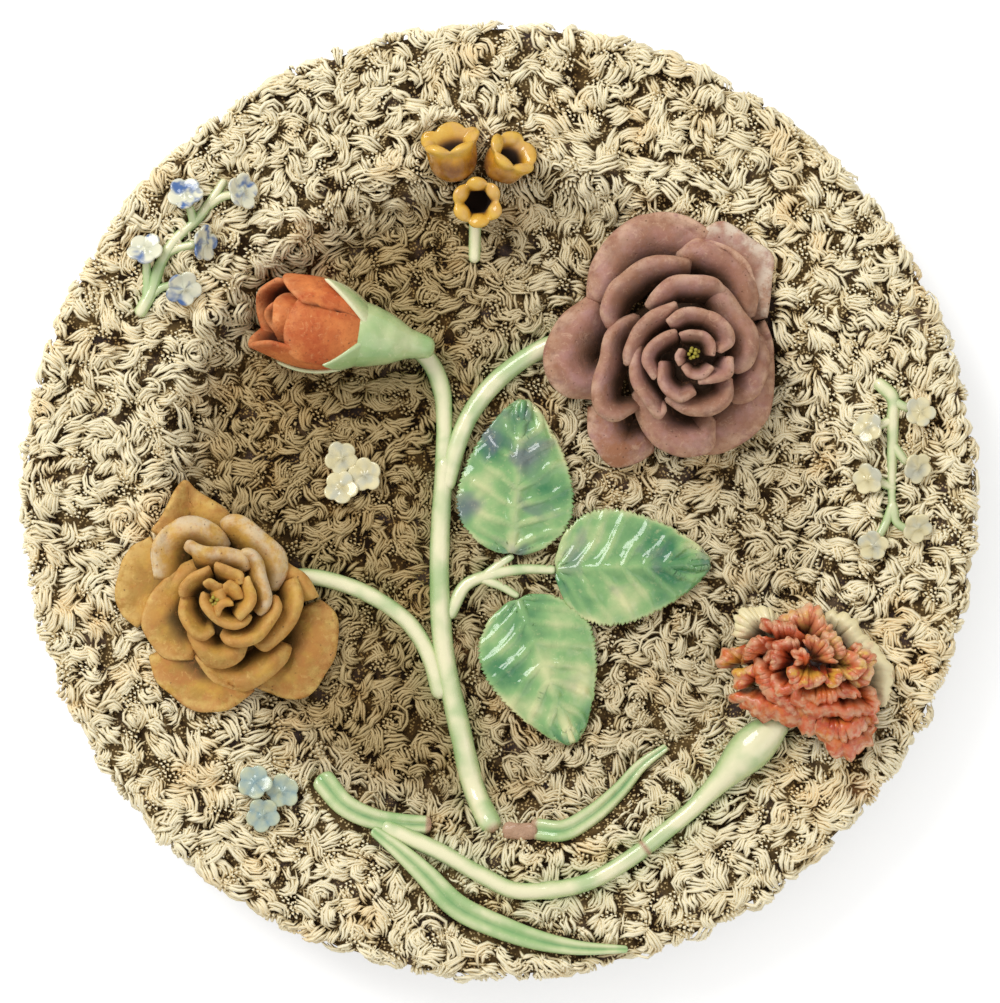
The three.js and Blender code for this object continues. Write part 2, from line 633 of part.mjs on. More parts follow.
const sprigs = {
  left: {
    radius: leftSprigFlowerRadius,
    glaze: "blueWhite",
    flowers: [
      { place: [-0.655, 0.64], azimuth: 100, elevation: 62 },
      { place: [-0.538, 0.646], azimuth: 10, elevation: 48 },
      { place: [-0.738, 0.524], azimuth: 100, elevation: 58 },
      { place: [-0.618, 0.538], azimuth: 355, elevation: 34 },
      { place: [-0.66, 0.445], azimuth: 300, elevation: 62 },
    ],
    routes: [
      [[-0.75, 0.398], [-0.73, 0.434], [-0.71, 0.493], [-0.678, 0.547], [-0.633, 0.588], [-0.606, 0.624],
        [-0.578, 0.666]],
      [[-0.737, 0.43], [-0.737, 0.47], [-0.737, 0.5, 2]],
      [[-0.73, 0.43], [-0.71, 0.445], [-0.685, 0.452, 2]],
      [[-0.705, 0.515], [-0.67, 0.53], [-0.642, 0.536, 2]],
      [[-0.64, 0.585], [-0.646, 0.61, 2]],
      [[-0.606, 0.62], [-0.58, 0.636], [-0.56, 0.64, 2]],
    ],
  },
  right: {
    radius: sprigFlowerRadius,
    glaze: "cream",
    flowers: [
      { place: [0.768, 0.154], azimuth: 160, elevation: 66 },
      { place: [0.874, 0.186], azimuth: 60, elevation: 74 },
      { place: [0.768, 0.047], azimuth: 200, elevation: 68 },
      { place: [0.868, 0.071], azimuth: 330, elevation: 62 },
      { place: [0.778, -0.091], azimuth: 240, elevation: 72 },
      { place: [0.868, -0.054], azimuth: 310, elevation: 64 },
    ],
    routes: [
      [[0.794, 0.244], [0.818, 0.22], [0.82, 0.167], [0.819, 0.074], [0.818, 0.02], [0.82, -0.014]],
      [[0.82, -0.008], [0.806, -0.045], [0.79, -0.075, 1]],
      [[0.82, -0.008], [0.83, -0.045], [0.855, -0.06, 1]],
      [[0.819, 0.17], [0.79, 0.158, 1]],
      [[0.82, 0.21], [0.85, 0.195, 1]],
      [[0.818, 0.03], [0.785, 0.045, 1]],
      [[0.819, 0.12], [0.845, 0.085, 1]],
    ],
  },
};

function sprigStem(routes, grow = 0) {
  const branches = routes.map((places, k) => {
    const start = (k === 0 ? 1.25 : 0.9) * sprigStemRadius + grow;
    const line = stemLine(sprigStemRadius, places);
    const steps = Math.ceil(places.length * 0.6);
    return bar(line, taper(start, 0.75 * sprigStemRadius + grow), { sides: 4, steps });
  });
  return joined(branches);
}

const clusters = {
  white: { places: [[-0.336, 0.029], [-0.284, 0.057], [-0.336, 0.092]], glaze: "cream" },
  blue: { places: [[-0.512, -0.586], [-0.453, -0.604], [-0.496, -0.654]], glaze: "blue" },
};

// Colours and finishes

const finish = (color, roughness) => new THREE.MeshStandardMaterial({ color, roughness, metalness: 0 });
const glazes = {
  dish: finish(0x5b4a33, 0.35),
  moss: finish(0xc2ab7d, 0.65),
  stem: finish(0x9dbb82, 0.25),
  leaf: finish(0x6fae78, 0.12),
  mauve: finish(0xa8776c, 0.7),
  ochre: finish(0xb98a3e, 0.6),
  rust: finish(0xb8552c, 0.65),
  carnation: finish(0xb0533a, 0.35),
  yellow: finish(0xd2a03a, 0.35),
  blueWhite: finish(0xd5d8d0, 0.3),
  cream: finish(0xd9c9a0, 0.45),
  blue: finish(0x93aeb4, 0.3),
  bareClay: finish(0xb08a68, 0.9),
};

const plate = new THREE.Group();

// Adds a solid as a named mesh.
function add(name, piece, material) {
  const { numProp, vertProperties, triVerts } = piece.getMesh();
  const positions = new Float32Array((vertProperties.length / numProp) * 3);
  for (let i = 0; i < positions.length / 3; i++) {
    for (let k = 0; k < 3; k++) positions[3 * i + k] = vertProperties[numProp * i + k];
  }
  const geometry = new THREE.BufferGeometry();
  geometry.setAttribute("position", new THREE.BufferAttribute(positions, 3));
  geometry.setIndex(new THREE.BufferAttribute(triVerts, 1));
  geometry.computeVertexNormals();
  const mesh = new THREE.Mesh(geometry, material);
  mesh.name = name;
  plate.add(mesh);
}
const without = (piece, others) => others.reduce((rest, other) => rest.subtract(other), piece);

add("dish", makeDish(), glazes.dish);
add("moss_bed", makeMoss(), glazes.moss);

const grownStems = Object.fromEntries(Object.entries(stems).map(([name, make]) => [name, make(seatGap)]));
const grownCalyx = rosebudCalyx(2 * seatGap);
const { main, mauve, bud, ochre, stalk } = stems;

add("stem_main", pressed(main(0)), glazes.stem);
add("stem_mauve_rose", pressed(mauve(0).subtract(grownStems.main)), glazes.stem);
add("stem_rosebud", pressed(without(bud(0), [grownStems.main, grownStems.mauve, grownCalyx])), glazes.stem);
add("stem_ochre_rose", pressed(ochre(0).subtract(grownStems.main)), glazes.stem);
add("leaf_stalk", pressed(stalk(0).subtract(grownStems.main)), glazes.stem);

const mauveFlower = rose(mauveWhorls, mauveRoseRadius, mauveRoseHeight, standing(mauveRose, mauveRoseHeight));
const ochreFlower = rose(ochreWhorls, ochreRoseRadius, ochreRoseHeight, standing(ochreRose, ochreRoseHeight));
add("rose_mauve", pressed(mauveFlower.subtract(grownStems.mauve)), glazes.mauve);
add("rose_ochre", pressed(ochreFlower.subtract(grownStems.ochre)), glazes.ochre);

const leafNeighbours = { leaf_top: [], leaf_bottom: [], leaf_right: ["leaf_top", "leaf_bottom"] };
for (const [name, neighbours] of Object.entries(leafNeighbours)) {
  const grownLeaves = neighbours.map((other) => leaf(leafPlaces[other], seatGap));
  const around = [grownStems.main, grownStems.stalk, grownStems.mauve, ...grownLeaves];
  add(name, without(leaf(leafPlaces[name]), around), glazes.leaf);
}

add("rosebud_calyx", pressed(rosebudCalyx()), glazes.stem);
add("rosebud_petals", pressed(rosebudPetals().subtract(grownCalyx)), glazes.rust);

const grownCarnationStem = carnationStem(seatGap);
const grownShortBlade = blade(blades.blade_short, seatGap);
add("carnation_stem", pressed(carnationStem()), glazes.stem);
add("carnation_head", pressed(carnationHead().subtract(grownCarnationStem)), glazes.carnation);
for (const [name, shape] of Object.entries(blades)) {
  const around = name === "blade_long" ? [grownCarnationStem, grownShortBlade] : [grownCarnationStem];
  add(name, pressed(without(blade(shape), around)), glazes.stem);
}
const grownRightBlade = blade(blades.blade_right, seatGap);
add("break_scar", pressed(without(breakScar(), [grownStems.main, grownRightBlade])), glazes.bareClay);

const frontCup = yellowCups.yellow_blossom_front;
for (const [name, cup] of Object.entries(yellowCups)) {
  const others = cup === frontCup ? [] : [yellowCup(frontCup, seatGap, true)];
  add(name, pressed(without(yellowCup(cup), others)), glazes.yellow);
}
add("yellow_blossom_stem", pressed(yellowStem().subtract(yellowCup(frontCup, seatGap, true))), glazes.stem);

for (const [side, { routes, flowers, radius, glaze }] of Object.entries(sprigs)) {
  const grownStem = sprigStem(routes, seatGap);
  add(`sprig_${side}_stem`, pressed(sprigStem(routes)), glazes.stem);
  flowers.forEach((flower, k) => {
    const shape = smallFlower({ ...flower, radius, lift: sprigFlowerLift });
    add(`sprig_${side}_flower_${k + 1}`, pressed(shape.subtract(grownStem)), glazes[glaze]);
  });
}

// Each cluster's flowers overlap like coins: a later one lies a step lower, under those before it.
for (const [kind, { places, glaze }] of Object.entries(clusters)) {
  const flowers = places.map((place, k) => ({
    place,
    radius: clusterFlowerRadius,
    lift: clusterFlowerLift - k * clusterStep,
  }));
  flowers.forEach((flower, k) => {
    const above = flowers.slice(0, k).map((other) => smallFlower(other, seatGap));
    add(`${kind}_flower_${k + 1}`, pressed(without(smallFlower(flower), above)), glazes[glaze]);
  });
}

export default plate;
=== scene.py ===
"""Looks of a round earthenware wall plate covered with clay moss and modelled flowers.

The plate lies face up on its foot ring, +Y to the top of the picture on it. Sizes are in millimetres, the
potter's unit, and every mesh becomes metres when it is made into a piece.
"""

import functools
import logging
from dataclasses import dataclass, field
from enum import Enum
from typing import Callable

import bpy
import numpy as np
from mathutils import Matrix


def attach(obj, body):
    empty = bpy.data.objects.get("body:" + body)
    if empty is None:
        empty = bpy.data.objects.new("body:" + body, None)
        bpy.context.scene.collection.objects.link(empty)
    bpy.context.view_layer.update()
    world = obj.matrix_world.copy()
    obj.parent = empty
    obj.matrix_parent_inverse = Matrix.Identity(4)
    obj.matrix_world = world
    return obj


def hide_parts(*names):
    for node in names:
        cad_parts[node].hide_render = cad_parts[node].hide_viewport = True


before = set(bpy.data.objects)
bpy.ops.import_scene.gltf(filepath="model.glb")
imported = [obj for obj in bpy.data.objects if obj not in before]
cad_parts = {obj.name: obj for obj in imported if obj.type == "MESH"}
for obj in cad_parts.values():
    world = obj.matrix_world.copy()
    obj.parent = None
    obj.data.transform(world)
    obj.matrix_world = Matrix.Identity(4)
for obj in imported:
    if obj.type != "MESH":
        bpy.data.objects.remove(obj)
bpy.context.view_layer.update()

LOG = logging.getLogger("plate")
METRES = 0.001
BODY = "root"
Colour = tuple[float, float, float]
Spots = tuple[tuple[float, ...], ...]
Socket = bpy.types.NodeSocket


# Sums on arrays


def ease(x: np.ndarray) -> np.ndarray:
    """Smooth step of x clamped to 0..1: 3x^2 - 2x^3."""
    x = np.clip(x, 0.0, 1.0)
    return x * x * (3.0 - 2.0 * x)


def unit(vectors: np.ndarray) -> np.ndarray:
    """Vectors scaled to length 1."""
    return vectors / np.maximum(np.linalg.norm(vectors, axis=-1, keepdims=True), 1e-9)


def lumps(points: np.ndarray, size: float, seed: float = 0.0) -> np.ndarray:
    """Smooth value noise between -1 and 1.

    Each corner of a cubic lattice has a value from the fraction of a large sine, and a point takes the eased
    mean of the eight corners around it.

    Args:
        points: Places, shape (..., 3).
        size: Edge of a lattice cube.
        seed: Moves the pattern to another draw.

    Returns:
        One value for each place.
    """
    cell = points / size
    corner = np.floor(cell)
    share = ease(cell - corner)
    total = np.zeros(points.shape[:-1])
    for k in range(8):
        step = np.array([k & 1, (k >> 1) & 1, k >> 2])
        weight = np.prod(np.where(step, share, 1.0 - share), axis=-1)
        wave = np.sin((corner + step) @ np.array([12.9898, 78.233, 37.719]) + seed) * 43758.5453
        total += weight * (wave - np.floor(wave))
    return 2.0 * total - 1.0


def smooth_line(points: np.ndarray, shares: np.ndarray) -> np.ndarray:
    """Places on a smooth curve through points.

    Between neighbours the curve is the cubic that has their places and slopes, and a point's slope is the
    finite difference over chord length.

    Args:
        points: The points, shape (n, k).
        shares: Where to read the curve, as shares of its chord length.

    Returns:
        Places of shape (len(shares), k).
    """
    points = np.asarray(points, float)
    steps = np.linalg.norm(np.diff(points, axis=0), axis=1)
    along = np.concatenate([[0.0], np.cumsum(steps)])
    slopes = np.gradient(points, along, axis=0)
    at = np.clip(shares, 0.0, 1.0) * along[-1]
    k = np.clip(np.searchsorted(along, at, side="right") - 1, 0, len(steps) - 1)
    x = ((at - along[k]) / steps[k])[:, None]
    span = steps[k][:, None]
    start = (1 + 2 * x) * (1 - x) ** 2 * points[k] + x * (1 - x) ** 2 * span * slopes[k]
    return start + x * x * (3 - 2 * x) * points[k + 1] + x * x * (x - 1) * span * slopes[k + 1]


def softened(line: np.ndarray) -> np.ndarray:
    """A row of places, each moved to the weighted mean of the five round it; its ends stay."""
    padded = np.concatenate([2 * line[:1] - line[2:0:-1], line, 2 * line[-1:] - line[-2:-4:-1]])
    return sum(w * padded[k:k + len(line)] for k, w in enumerate((1, 2, 3, 2, 1))) / 9.0


def bell(x: np.ndarray, width: float) -> np.ndarray:
    """Bell curve: exp(-(x / width)^2)."""
    return np.exp(-((x / width) ** 2))


def full_turn(count: int) -> np.ndarray:
    """Angles in even steps round a full turn."""
    return np.linspace(0.0, 2.0 * np.pi, count, endpoint=False)


def axes(azimuth: float, elevation: float, lean: float = 0.0) -> np.ndarray:
    """Rows of an axis that points to an azimuth and elevation in degrees, its level side and its up.

    Args:
        azimuth: Degrees round the Z axis.
        elevation: Degrees over the level.
        lean: Leans the side a little.

    Returns:
        Three rows.
    """
    a, e = np.radians(azimuth), np.radians(elevation)
    axis = np.array([np.cos(a) * np.cos(e), np.sin(a) * np.cos(e), np.sin(e)])
    side = unit(np.cross([0, lean, 1.0], axis))
    return np.stack([axis, side, np.cross(axis, side)])


def around(angle: np.ndarray, rows: np.ndarray) -> np.ndarray:
    """Directions round an axis: the side times cos(a) plus the up times sin(a)."""
    return np.cos(angle)[..., None] * rows[1] + np.sin(angle)[..., None] * rows[2]


def rounded(distance: np.ndarray, radius: float) -> np.ndarray:
    """Height of a quarter circle's edge, as a share of its radius, at a distance in from the edge."""
    return np.sqrt(np.clip(1.0 - (1.0 - np.clip(distance / radius, 0.0, 1.0)) ** 2, 0.0, 1.0))


# Meshes


@dataclass
class Surface:
    """A closed mesh in millimetres: points, faces of three or four corners, and values at its points.

    A face with three corners has -1 as its fourth.
    """

    points: np.ndarray
    faces: np.ndarray
    values: dict[str, np.ndarray] = field(default_factory=dict)

    def volume(self) -> float:
        """Signed volume, by the triangles of every face seen from the origin.

        Returns:
            Cubic millimetres, less than 0 where the faces point in.
        """
        fourth = np.where(self.faces[:, 3] < 0, self.faces[:, 2], self.faces[:, 3])
        a, b, c = (self.points[self.faces[:, k]] for k in range(3))
        d = self.points[fourth]
        return float((np.cross(a, b) * c).sum() + (np.cross(a, c) * d).sum()) / 6.0

    def outward(self) -> "Surface":
        """The same body with its faces pointing out.

        Returns:
            The body itself, or a copy with turned faces.
        """
        if self.volume() >= 0:
            return self
        turned = self.faces[:, [0, 3, 2, 1]]
        short = self.faces[:, 3] < 0
        turned[short] = self.faces[short][:, [0, 2, 1, 3]]
        return Surface(self.points, turned, self.values)

    def valued(self, **values: float) -> "Surface":
        """The same body with more values, each the same at all points or one for each point.

        Args:
            values: The values by name.

        Returns:
            The new body.
        """
        size = len(self.points)
        more = {name: np.broadcast_to(np.asarray(value, float), size) for name, value in values.items()}
        return Surface(self.points, self.faces, {**self.values, **more})


def joined(bodies: list[Surface]) -> Surface:
    """Several closed bodies as one mesh; a value that a body lacks is 0 there.

    Args:
        bodies: The bodies.

    Returns:
        One body.
    """
    starts = np.cumsum([0] + [len(body.points) for body in bodies[:-1]])
    faces = [np.where(body.faces < 0, -1, body.faces + start) for body, start in zip(bodies, starts)]
    names = sorted({name for body in bodies for name in body.values})
    values = {
        name: np.concatenate([body.values.get(name, np.zeros(len(body.points))) for body in bodies])
        for name in names
    }
    return Surface(np.concatenate([body.points for body in bodies]), np.concatenate(faces), values)


def grid_faces(index: np.ndarray, wrap: bool = False) -> np.ndarray:
    """Quads between the neighbours of a grid of point numbers; with wrap its last column joins its first.

    Args:
        index: Grid of point numbers.
        wrap: Whether the columns close.

    Returns:
        The quads.
    """
    if wrap:
        index = np.concatenate([index, index[:, :1]], axis=1)
    return np.stack([index[:-1, :-1], index[:-1, 1:], index[1:, 1:], index[1:, :-1]], axis=-1).reshape(-1, 4)


def pillow(middle: np.ndarray, half: np.ndarray, **values: np.ndarray) -> Surface:
    """A closed sheet around a middle surface.

    Front and back are the middle surface plus and minus its unit normal times half the local thickness, and
    they share the points of the grid's border.

    Args:
        middle: Grid of places, shape (rows, columns, 3).
        half: Half the thickness at each place; the border's counts as 0.
        values: Values on the grid.

    Returns:
        The closed body.
    """
    rows, columns = half.shape
    normal = unit(np.cross(np.gradient(middle, axis=1), np.gradient(middle, axis=0)))
    half = half.copy()
    half[[0, -1], :] = 0.0
    half[:, [0, -1]] = 0.0
    front = middle + normal * half[..., None]
    back = (middle - normal * half[..., None])[1:-1, 1:-1]
    index = np.arange(rows * columns).reshape(rows, columns)
    below = index.copy()
    below[1:-1, 1:-1] = rows * columns + np.arange(back[..., 0].size).reshape(rows - 2, columns - 2)
    faces = np.concatenate([grid_faces(index), grid_faces(below)[:, ::-1]])
    points = np.concatenate([front.reshape(-1, 3), back.reshape(-1, 3)])
    spread = {
        name: np.concatenate([value.reshape(-1), value[1:-1, 1:-1].reshape(-1)])
        for name, value in values.items()
    }
    return Surface(points, faces, spread).outward()


def ringed(grid: np.ndarray, **values: np.ndarray) -> Surface:
    """A closed body of rings: the grid's columns run round, and a pole closes each end.

    Args:
        grid: Places, shape (rings, columns, 3).
        values: Values on the grid.

    Returns:
        The closed body.
    """
    rows, columns = grid.shape[:2]
    index = np.arange(rows * columns).reshape(rows, columns)
    round_first = np.roll(index[0], -1)
    round_last = np.roll(index[-1], -1)
    nothing = np.full(columns, -1)
    start, end = rows * columns, rows * columns + 1
    caps = [
        np.stack([round_first, index[0], np.full(columns, start), nothing], axis=-1),
        np.stack([index[-1], round_last, np.full(columns, end), nothing], axis=-1),
    ]
    points = np.concatenate([grid.reshape(-1, 3), grid[0].mean(0)[None], grid[-1].mean(0)[None]])
    faces = np.concatenate([grid_faces(index, wrap=True), *caps])
    spread = {
        name: np.concatenate([value.reshape(-1), [value[0].mean(), value[-1].mean()]])
        for name, value in values.items()
    }
    return Surface(points, faces, spread).outward()


def turned(profile: np.ndarray, sides: int) -> Surface:
    """A body turned about the Z axis from a profile of (radius, height) that starts and ends near it.

    Args:
        profile: Places, shape (n, 2).
        sides: Points round a ring.

    Returns:
        The closed body.
    """
    angle = full_turn(sides)
    radius, height = profile[:, :1], profile[:, 1:]
    grid = np.stack([radius * np.cos(angle), radius * np.sin(angle), height + 0.0 * angle], axis=-1)
    return ringed(grid)


def ramp_rows(edge: float, length: float, count: int) -> np.ndarray:
    """Distances in from an edge: four close rows round it, then even steps to the length."""
    near = edge * (1.0 - np.cos(np.linspace(0.0, np.pi / 2, 4)))
    return np.concatenate([near[:-1], np.linspace(edge, length, count)])


def bar(line: np.ndarray, radii: np.ndarray, sides: int = 16, flat: float = 1.0, groove: float = 0.0) -> Surface:
    """A bar carried along a line, with rounded ends.

    A ring is the line's place plus across times cos(a) and raised times flat times sin(a), each times the
    radius. A groove lowers the middle of its upper face. Its values are "crest", 1 on top, less in the groove
    and 0 below, which the glaze shows pale on top, partly as thin glaze and partly as a painted highlight, and
    "along", 0 to 1 from end to end.

    Args:
        line: Places of the middle line, shape (n, 3).
        radii: Half width at each place.
        sides: Points round a ring.
        flat: Height of the section as a share of its width.
        groove: Depth of the groove as a share of the half width.

    Returns:
        The closed bar.
    """
    turn = np.linspace(0.0, np.pi / 2, 4)[:-1]
    tangent = unit(np.gradient(line, axis=0))
    ends = [line[0] - tangent[0] * radii[0] * flat * np.cos(turn)[:, None],
            line[-1] + (tangent[-1] * radii[-1] * flat * np.cos(turn)[:, None])[::-1]]
    ends_radii = [radii[0] * np.sin(turn) + 0.02, (radii[-1] * np.sin(turn) + 0.02)[::-1]]
    line = np.concatenate([ends[0], line, ends[1]])
    radii = np.concatenate([ends_radii[0], radii, ends_radii[1]])
    tangent = np.concatenate([np.repeat(tangent[:1], 3, 0), tangent, np.repeat(tangent[-1:], 3, 0)])
    across = unit(np.cross([0.0, 0.0, 1.0], tangent))
    raised = np.cross(tangent, across)
    angle = full_turn(sides)
    wide = np.cos(angle)
    tall = flat * np.sin(angle) - groove * bell(wide, 0.35) * (np.sin(angle) > 0)
    grid = line[:, None] + radii[:, None, None] * (across[:, None] * wide[:, None] + raised[:, None] * tall[:, None])
    sunk = 1 - 2.4 * groove * bell(wide, 0.4)
    # crest: pale on top as thin glaze and painted highlight, darker in the groove as pooled glaze and painted shade.
    crest = np.broadcast_to((0.5 + 0.5 * np.sin(angle)) ** 3 * sunk, grid.shape[:2])
    along = np.broadcast_to(np.linspace(0.0, 1.0, len(line))[:, None], grid.shape[:2])
    return ringed(grid, crest=crest, along=along)


# The plate's form and the picture of it


@dataclass(frozen=True)
class PlateForm:
    """Sizes of the dish and its moss, as in the construction."""

    plate_radius: float = 200.0
    moss_overhang: float = 6.0
    wall: float = 8.0
    foot_height: float = 7.0
    well_radius: float = 122.0
    slope_width: float = 26.0
    well_depth: float = 17.0
    rim_rise: float = 6.0
    moss_depth: float = 5.5
    seat: float = 1.0

    @property
    def rim_radius(self) -> float:
        """Radius of the dish itself."""
        return self.plate_radius - self.moss_overhang

    def dish_top(self, radius: np.ndarray) -> np.ndarray:
        """Height of the dish's upper face: a flat well, an eased slope and a straight rising rim.

        Args:
            radius: Distances from the middle.

        Returns:
            A height for each.
        """
        shoulder = self.well_radius + self.slope_width
        slope = ease((radius - self.well_radius) / self.slope_width)
        rim = np.clip((radius - shoulder) / (self.rim_radius - shoulder), 0.0, 1.0)
        return self.foot_height + self.wall + self.well_depth * slope + self.rim_rise * rim

    def moss_top(self, radius: np.ndarray) -> np.ndarray:
        """Height of the moss's upper face."""
        return self.dish_top(np.minimum(radius, self.rim_radius)) + self.moss_depth

    def under(self, points: np.ndarray) -> np.ndarray:
        """Height of the moss's upper face under places."""
        return self.moss_top(np.hypot(points[..., 0], points[..., 1]))

    def spot(self, x: float, y: float, lift: float = 0.0) -> np.ndarray:
        """A place over the moss from shares of the plate's radius and a height above the moss."""
        radius = self.plate_radius * np.hypot(x, y)
        return np.array([self.plate_radius * x, self.plate_radius * y, self.moss_top(radius) + lift])

    def slope_spot(self, up: float, around: float) -> tuple[float, float]:
        """Shares of a place on the well's slope, from its share up the slope and its angle in degrees."""
        share = (self.well_radius + up * self.slope_width) / self.plate_radius
        return share * np.cos(np.radians(around)), share * np.sin(np.radians(around))

    def stem_line(self, radius: float, places: Spots, count: int, sink: float = 0.42) -> np.ndarray:
        """A stem's middle line, half sunk in the moss: places are (x, y, extra height)."""
        spots = np.array([self.spot(p[0], p[1], sink * radius + (p[2] if len(p) > 2 else 0.0)) for p in places])
        return smooth_line(spots, np.linspace(0.0, 1.0, count))


@dataclass(frozen=True)
class Picture:
    """How the camera, straight above the plate, sees it in the picture, with spots in its pixels."""

    height: int = 1003
    centre: tuple[float, float] = (500.0, 501.0)
    pixel: float = 0.4184
    level: float = 38.0
    distance: float = 1700.0
    sensor: float = 36.0

    def plan(self, spots: np.ndarray, heights: np.ndarray) -> np.ndarray:
        """Places over the plate, at given heights, that show at spots of the picture.

        Args:
            spots: Pixels, shape (n, 2).
            heights: One height, or one for each spot.

        Returns:
            Level places, shape (n, 2).
        """
        away = (np.asarray(spots, float) - self.centre) * self.pixel * [1.0, -1.0]
        nearer = 1.0 - (np.asarray(heights) - self.level) / self.distance
        return away * np.reshape(nearer, (-1, 1))


FORM = PlateForm()
PICTURE = Picture()
WELL_TOP = float(FORM.moss_top(np.array(0.0)))


# Finishes


def linear(colour: Colour) -> tuple[float, float, float, float]:
    """A colour of 0..255 steps as linear light.

    Args:
        colour: Red, green and blue.

    Returns:
        The light of each, and a full alpha.
    """
    share = np.asarray(colour, float) / 255.0
    light = np.where(share <= 0.04045, share / 12.92, ((share + 0.055) / 1.055) ** 2.4)
    return (float(light[0]), float(light[1]), float(light[2]), 1.0)


class Shading:
    """Nodes of one material around a Principled shader; patterns are in metres on Object coordinates."""

    def __init__(self, name: str) -> None:
        """Makes an empty material with its shader.

        Args:
            name: The material's name.
        """
        self.material = bpy.data.materials.new(name)
        self.material.use_nodes = True
        self.tree = self.material.node_tree
        self.tree.nodes.clear()
        self.shader = self.node("BsdfPrincipled")
        self.node("OutputMaterial", Surface=self.shader.outputs["BSDF"])
        self.coordinates = self.node("TexCoord").outputs["Object"]

    def node(self, kind: str, **sockets: object) -> bpy.types.Node:
        """A new node of a kind, with its sockets fed; their names have _ for a space.

        Args:
            kind: The node's type after ShaderNode.
            sockets: What goes into each socket.

        Returns:
            The node.
        """
        node = self.tree.nodes.new(f"ShaderNode{kind}")
        for name, value in sockets.items():
            self.feed(node.inputs[name.replace("_", " ")], value)
        return node

    def feed(self, socket: Socket, value: object) -> None:
        """Links a socket into another, or sets its plain value or colour.

        Args:
            socket: Where it goes.
            value: A socket, a colour or a number.
        """
        if isinstance(value, Socket):
            self.tree.links.new(value, socket)
        elif isinstance(value, tuple):
            socket.default_value = linear(value)
        else:
            socket.default_value = value

    def value(self, name: str) -> Socket:
        """A value that the mesh holds at its points.

        Args:
            name: The value's name.

        Returns:
            The socket of the result.
        """
        node = self.node("Attribute")
        node.attribute_name = name
        return node.outputs["Fac"]

    def noise(self, size: float, detail: float = 4.0, rough: float = 0.55,
              bend: float = 0.0) -> Socket:
        """Cloudy noise of 0..1.

        Args:
            size: Size of its largest clouds in millimetres.
            detail: Number of finer layers.
            rough: Weight of the finer layers.
            bend: Distortion.

        Returns:
            The noise socket.
        """
        return self.node("TexNoise", Vector=self.coordinates, Scale=1.0 / (size * METRES), Detail=detail,
                         Roughness=rough, Distortion=bend).outputs["Fac"]

    def cells(self, size: float) -> Socket:
        """Distance from the nearest of scattered points, as a share of the cell size in millimetres."""
        return self.node("TexVoronoi", Vector=self.coordinates, Scale=1.0 / (size * METRES)).outputs["Distance"]

    def math(self, operation: str, a: object, b: object) -> Socket:
        """One sum of two values, kept between 0 and 1.

        Args:
            operation: Blender's name of the sum.
            a: First value.
            b: Second value.

        Returns:
            The socket of the result.
        """
        node = self.node("Math")
        node.operation = operation
        node.use_clamp = True
        self.feed(node.inputs[0], a)
        self.feed(node.inputs[1], b)
        return node.outputs[0]

    def times(self, a: object, b: object) -> Socket:
        """The product of two values."""
        return self.math("MULTIPLY", a, b)

    def plus(self, a: object, b: object) -> Socket:
        """The sum of two values, at most 1."""
        return self.math("ADD", a, b)

    def less(self, a: object, b: object) -> Socket:
        """The first value less the second, at least 0."""
        return self.math("SUBTRACT", a, b)

    def between(self, value: object, low: float, high: float) -> Socket:
        """0 below low, 1 above high and eased between, or the other way round where high is below low.

        Args:
            value: What is compared.
            low: Where the result is 0.
            high: Where it is 1.

        Returns:
            The socket of the result.
        """
        rising = low < high
        node = self.node("MapRange", Value=value, From_Min=min(low, high), From_Max=max(low, high),
                         To_Min=float(not rising), To_Max=float(rising))
        node.interpolation_type = "SMOOTHSTEP"
        return node.outputs["Result"]

    def ramp(self, value: object, *stops: tuple[float, Colour]) -> Socket:
        """A colour ramp through stops of (place, colour).

        Args:
            value: Where to read the ramp.
            stops: At least two stops in order.

        Returns:
            The socket of the result.
        """
        node = self.node("ValToRGB", Fac=value)
        elements = node.color_ramp.elements
        for k, (place, colour) in enumerate(stops):
            element = elements[k] if k < 2 else elements.new(place)
            element.position = place
            element.color = linear(colour)
        return node.outputs["Color"]

    def mix(self, share: object, a: object, b: object, how: str = "MIX") -> Socket:
        """Two colours mixed by a share.

        Args:
            share: Share of the second.
            a: First colour.
            b: Second colour.
            how: Blender's blend type.

        Returns:
            The socket of the result.
        """
        node = self.node("Mix")
        node.data_type = "RGBA"
        node.blend_type = how
        self.feed(node.inputs["Factor"], share)
        self.feed(node.inputs[6], a)
        self.feed(node.inputs[7], b)
        return node.outputs[2]

    def bump(self, height: object, depth: float, under: object = None) -> Socket:
        """A bumped normal: height of 0..1 stands for a depth in millimetres.

        Args:
            height: The pattern.
            depth: Millimetres between its 0 and 1.
            under: A coarser normal, or None.

        Returns:
            The socket of the result.
        """
        node = self.node("Bump", Strength=1.0, Distance=depth * METRES, Height=height)
        if under is not None:
            self.feed(node.inputs["Normal"], under)
        return node.outputs["Normal"]

    def finish(self, **sockets: object) -> bpy.types.Material:
        """Feeds the shader's sockets, named with _ for a space, and returns the material.

        Args:
            sockets: What goes into each socket.

        Returns:
            The material.
        """
        for name, value in sockets.items():
            self.feed(self.shader.inputs[name.replace("_", " ")], value)
        return self.material


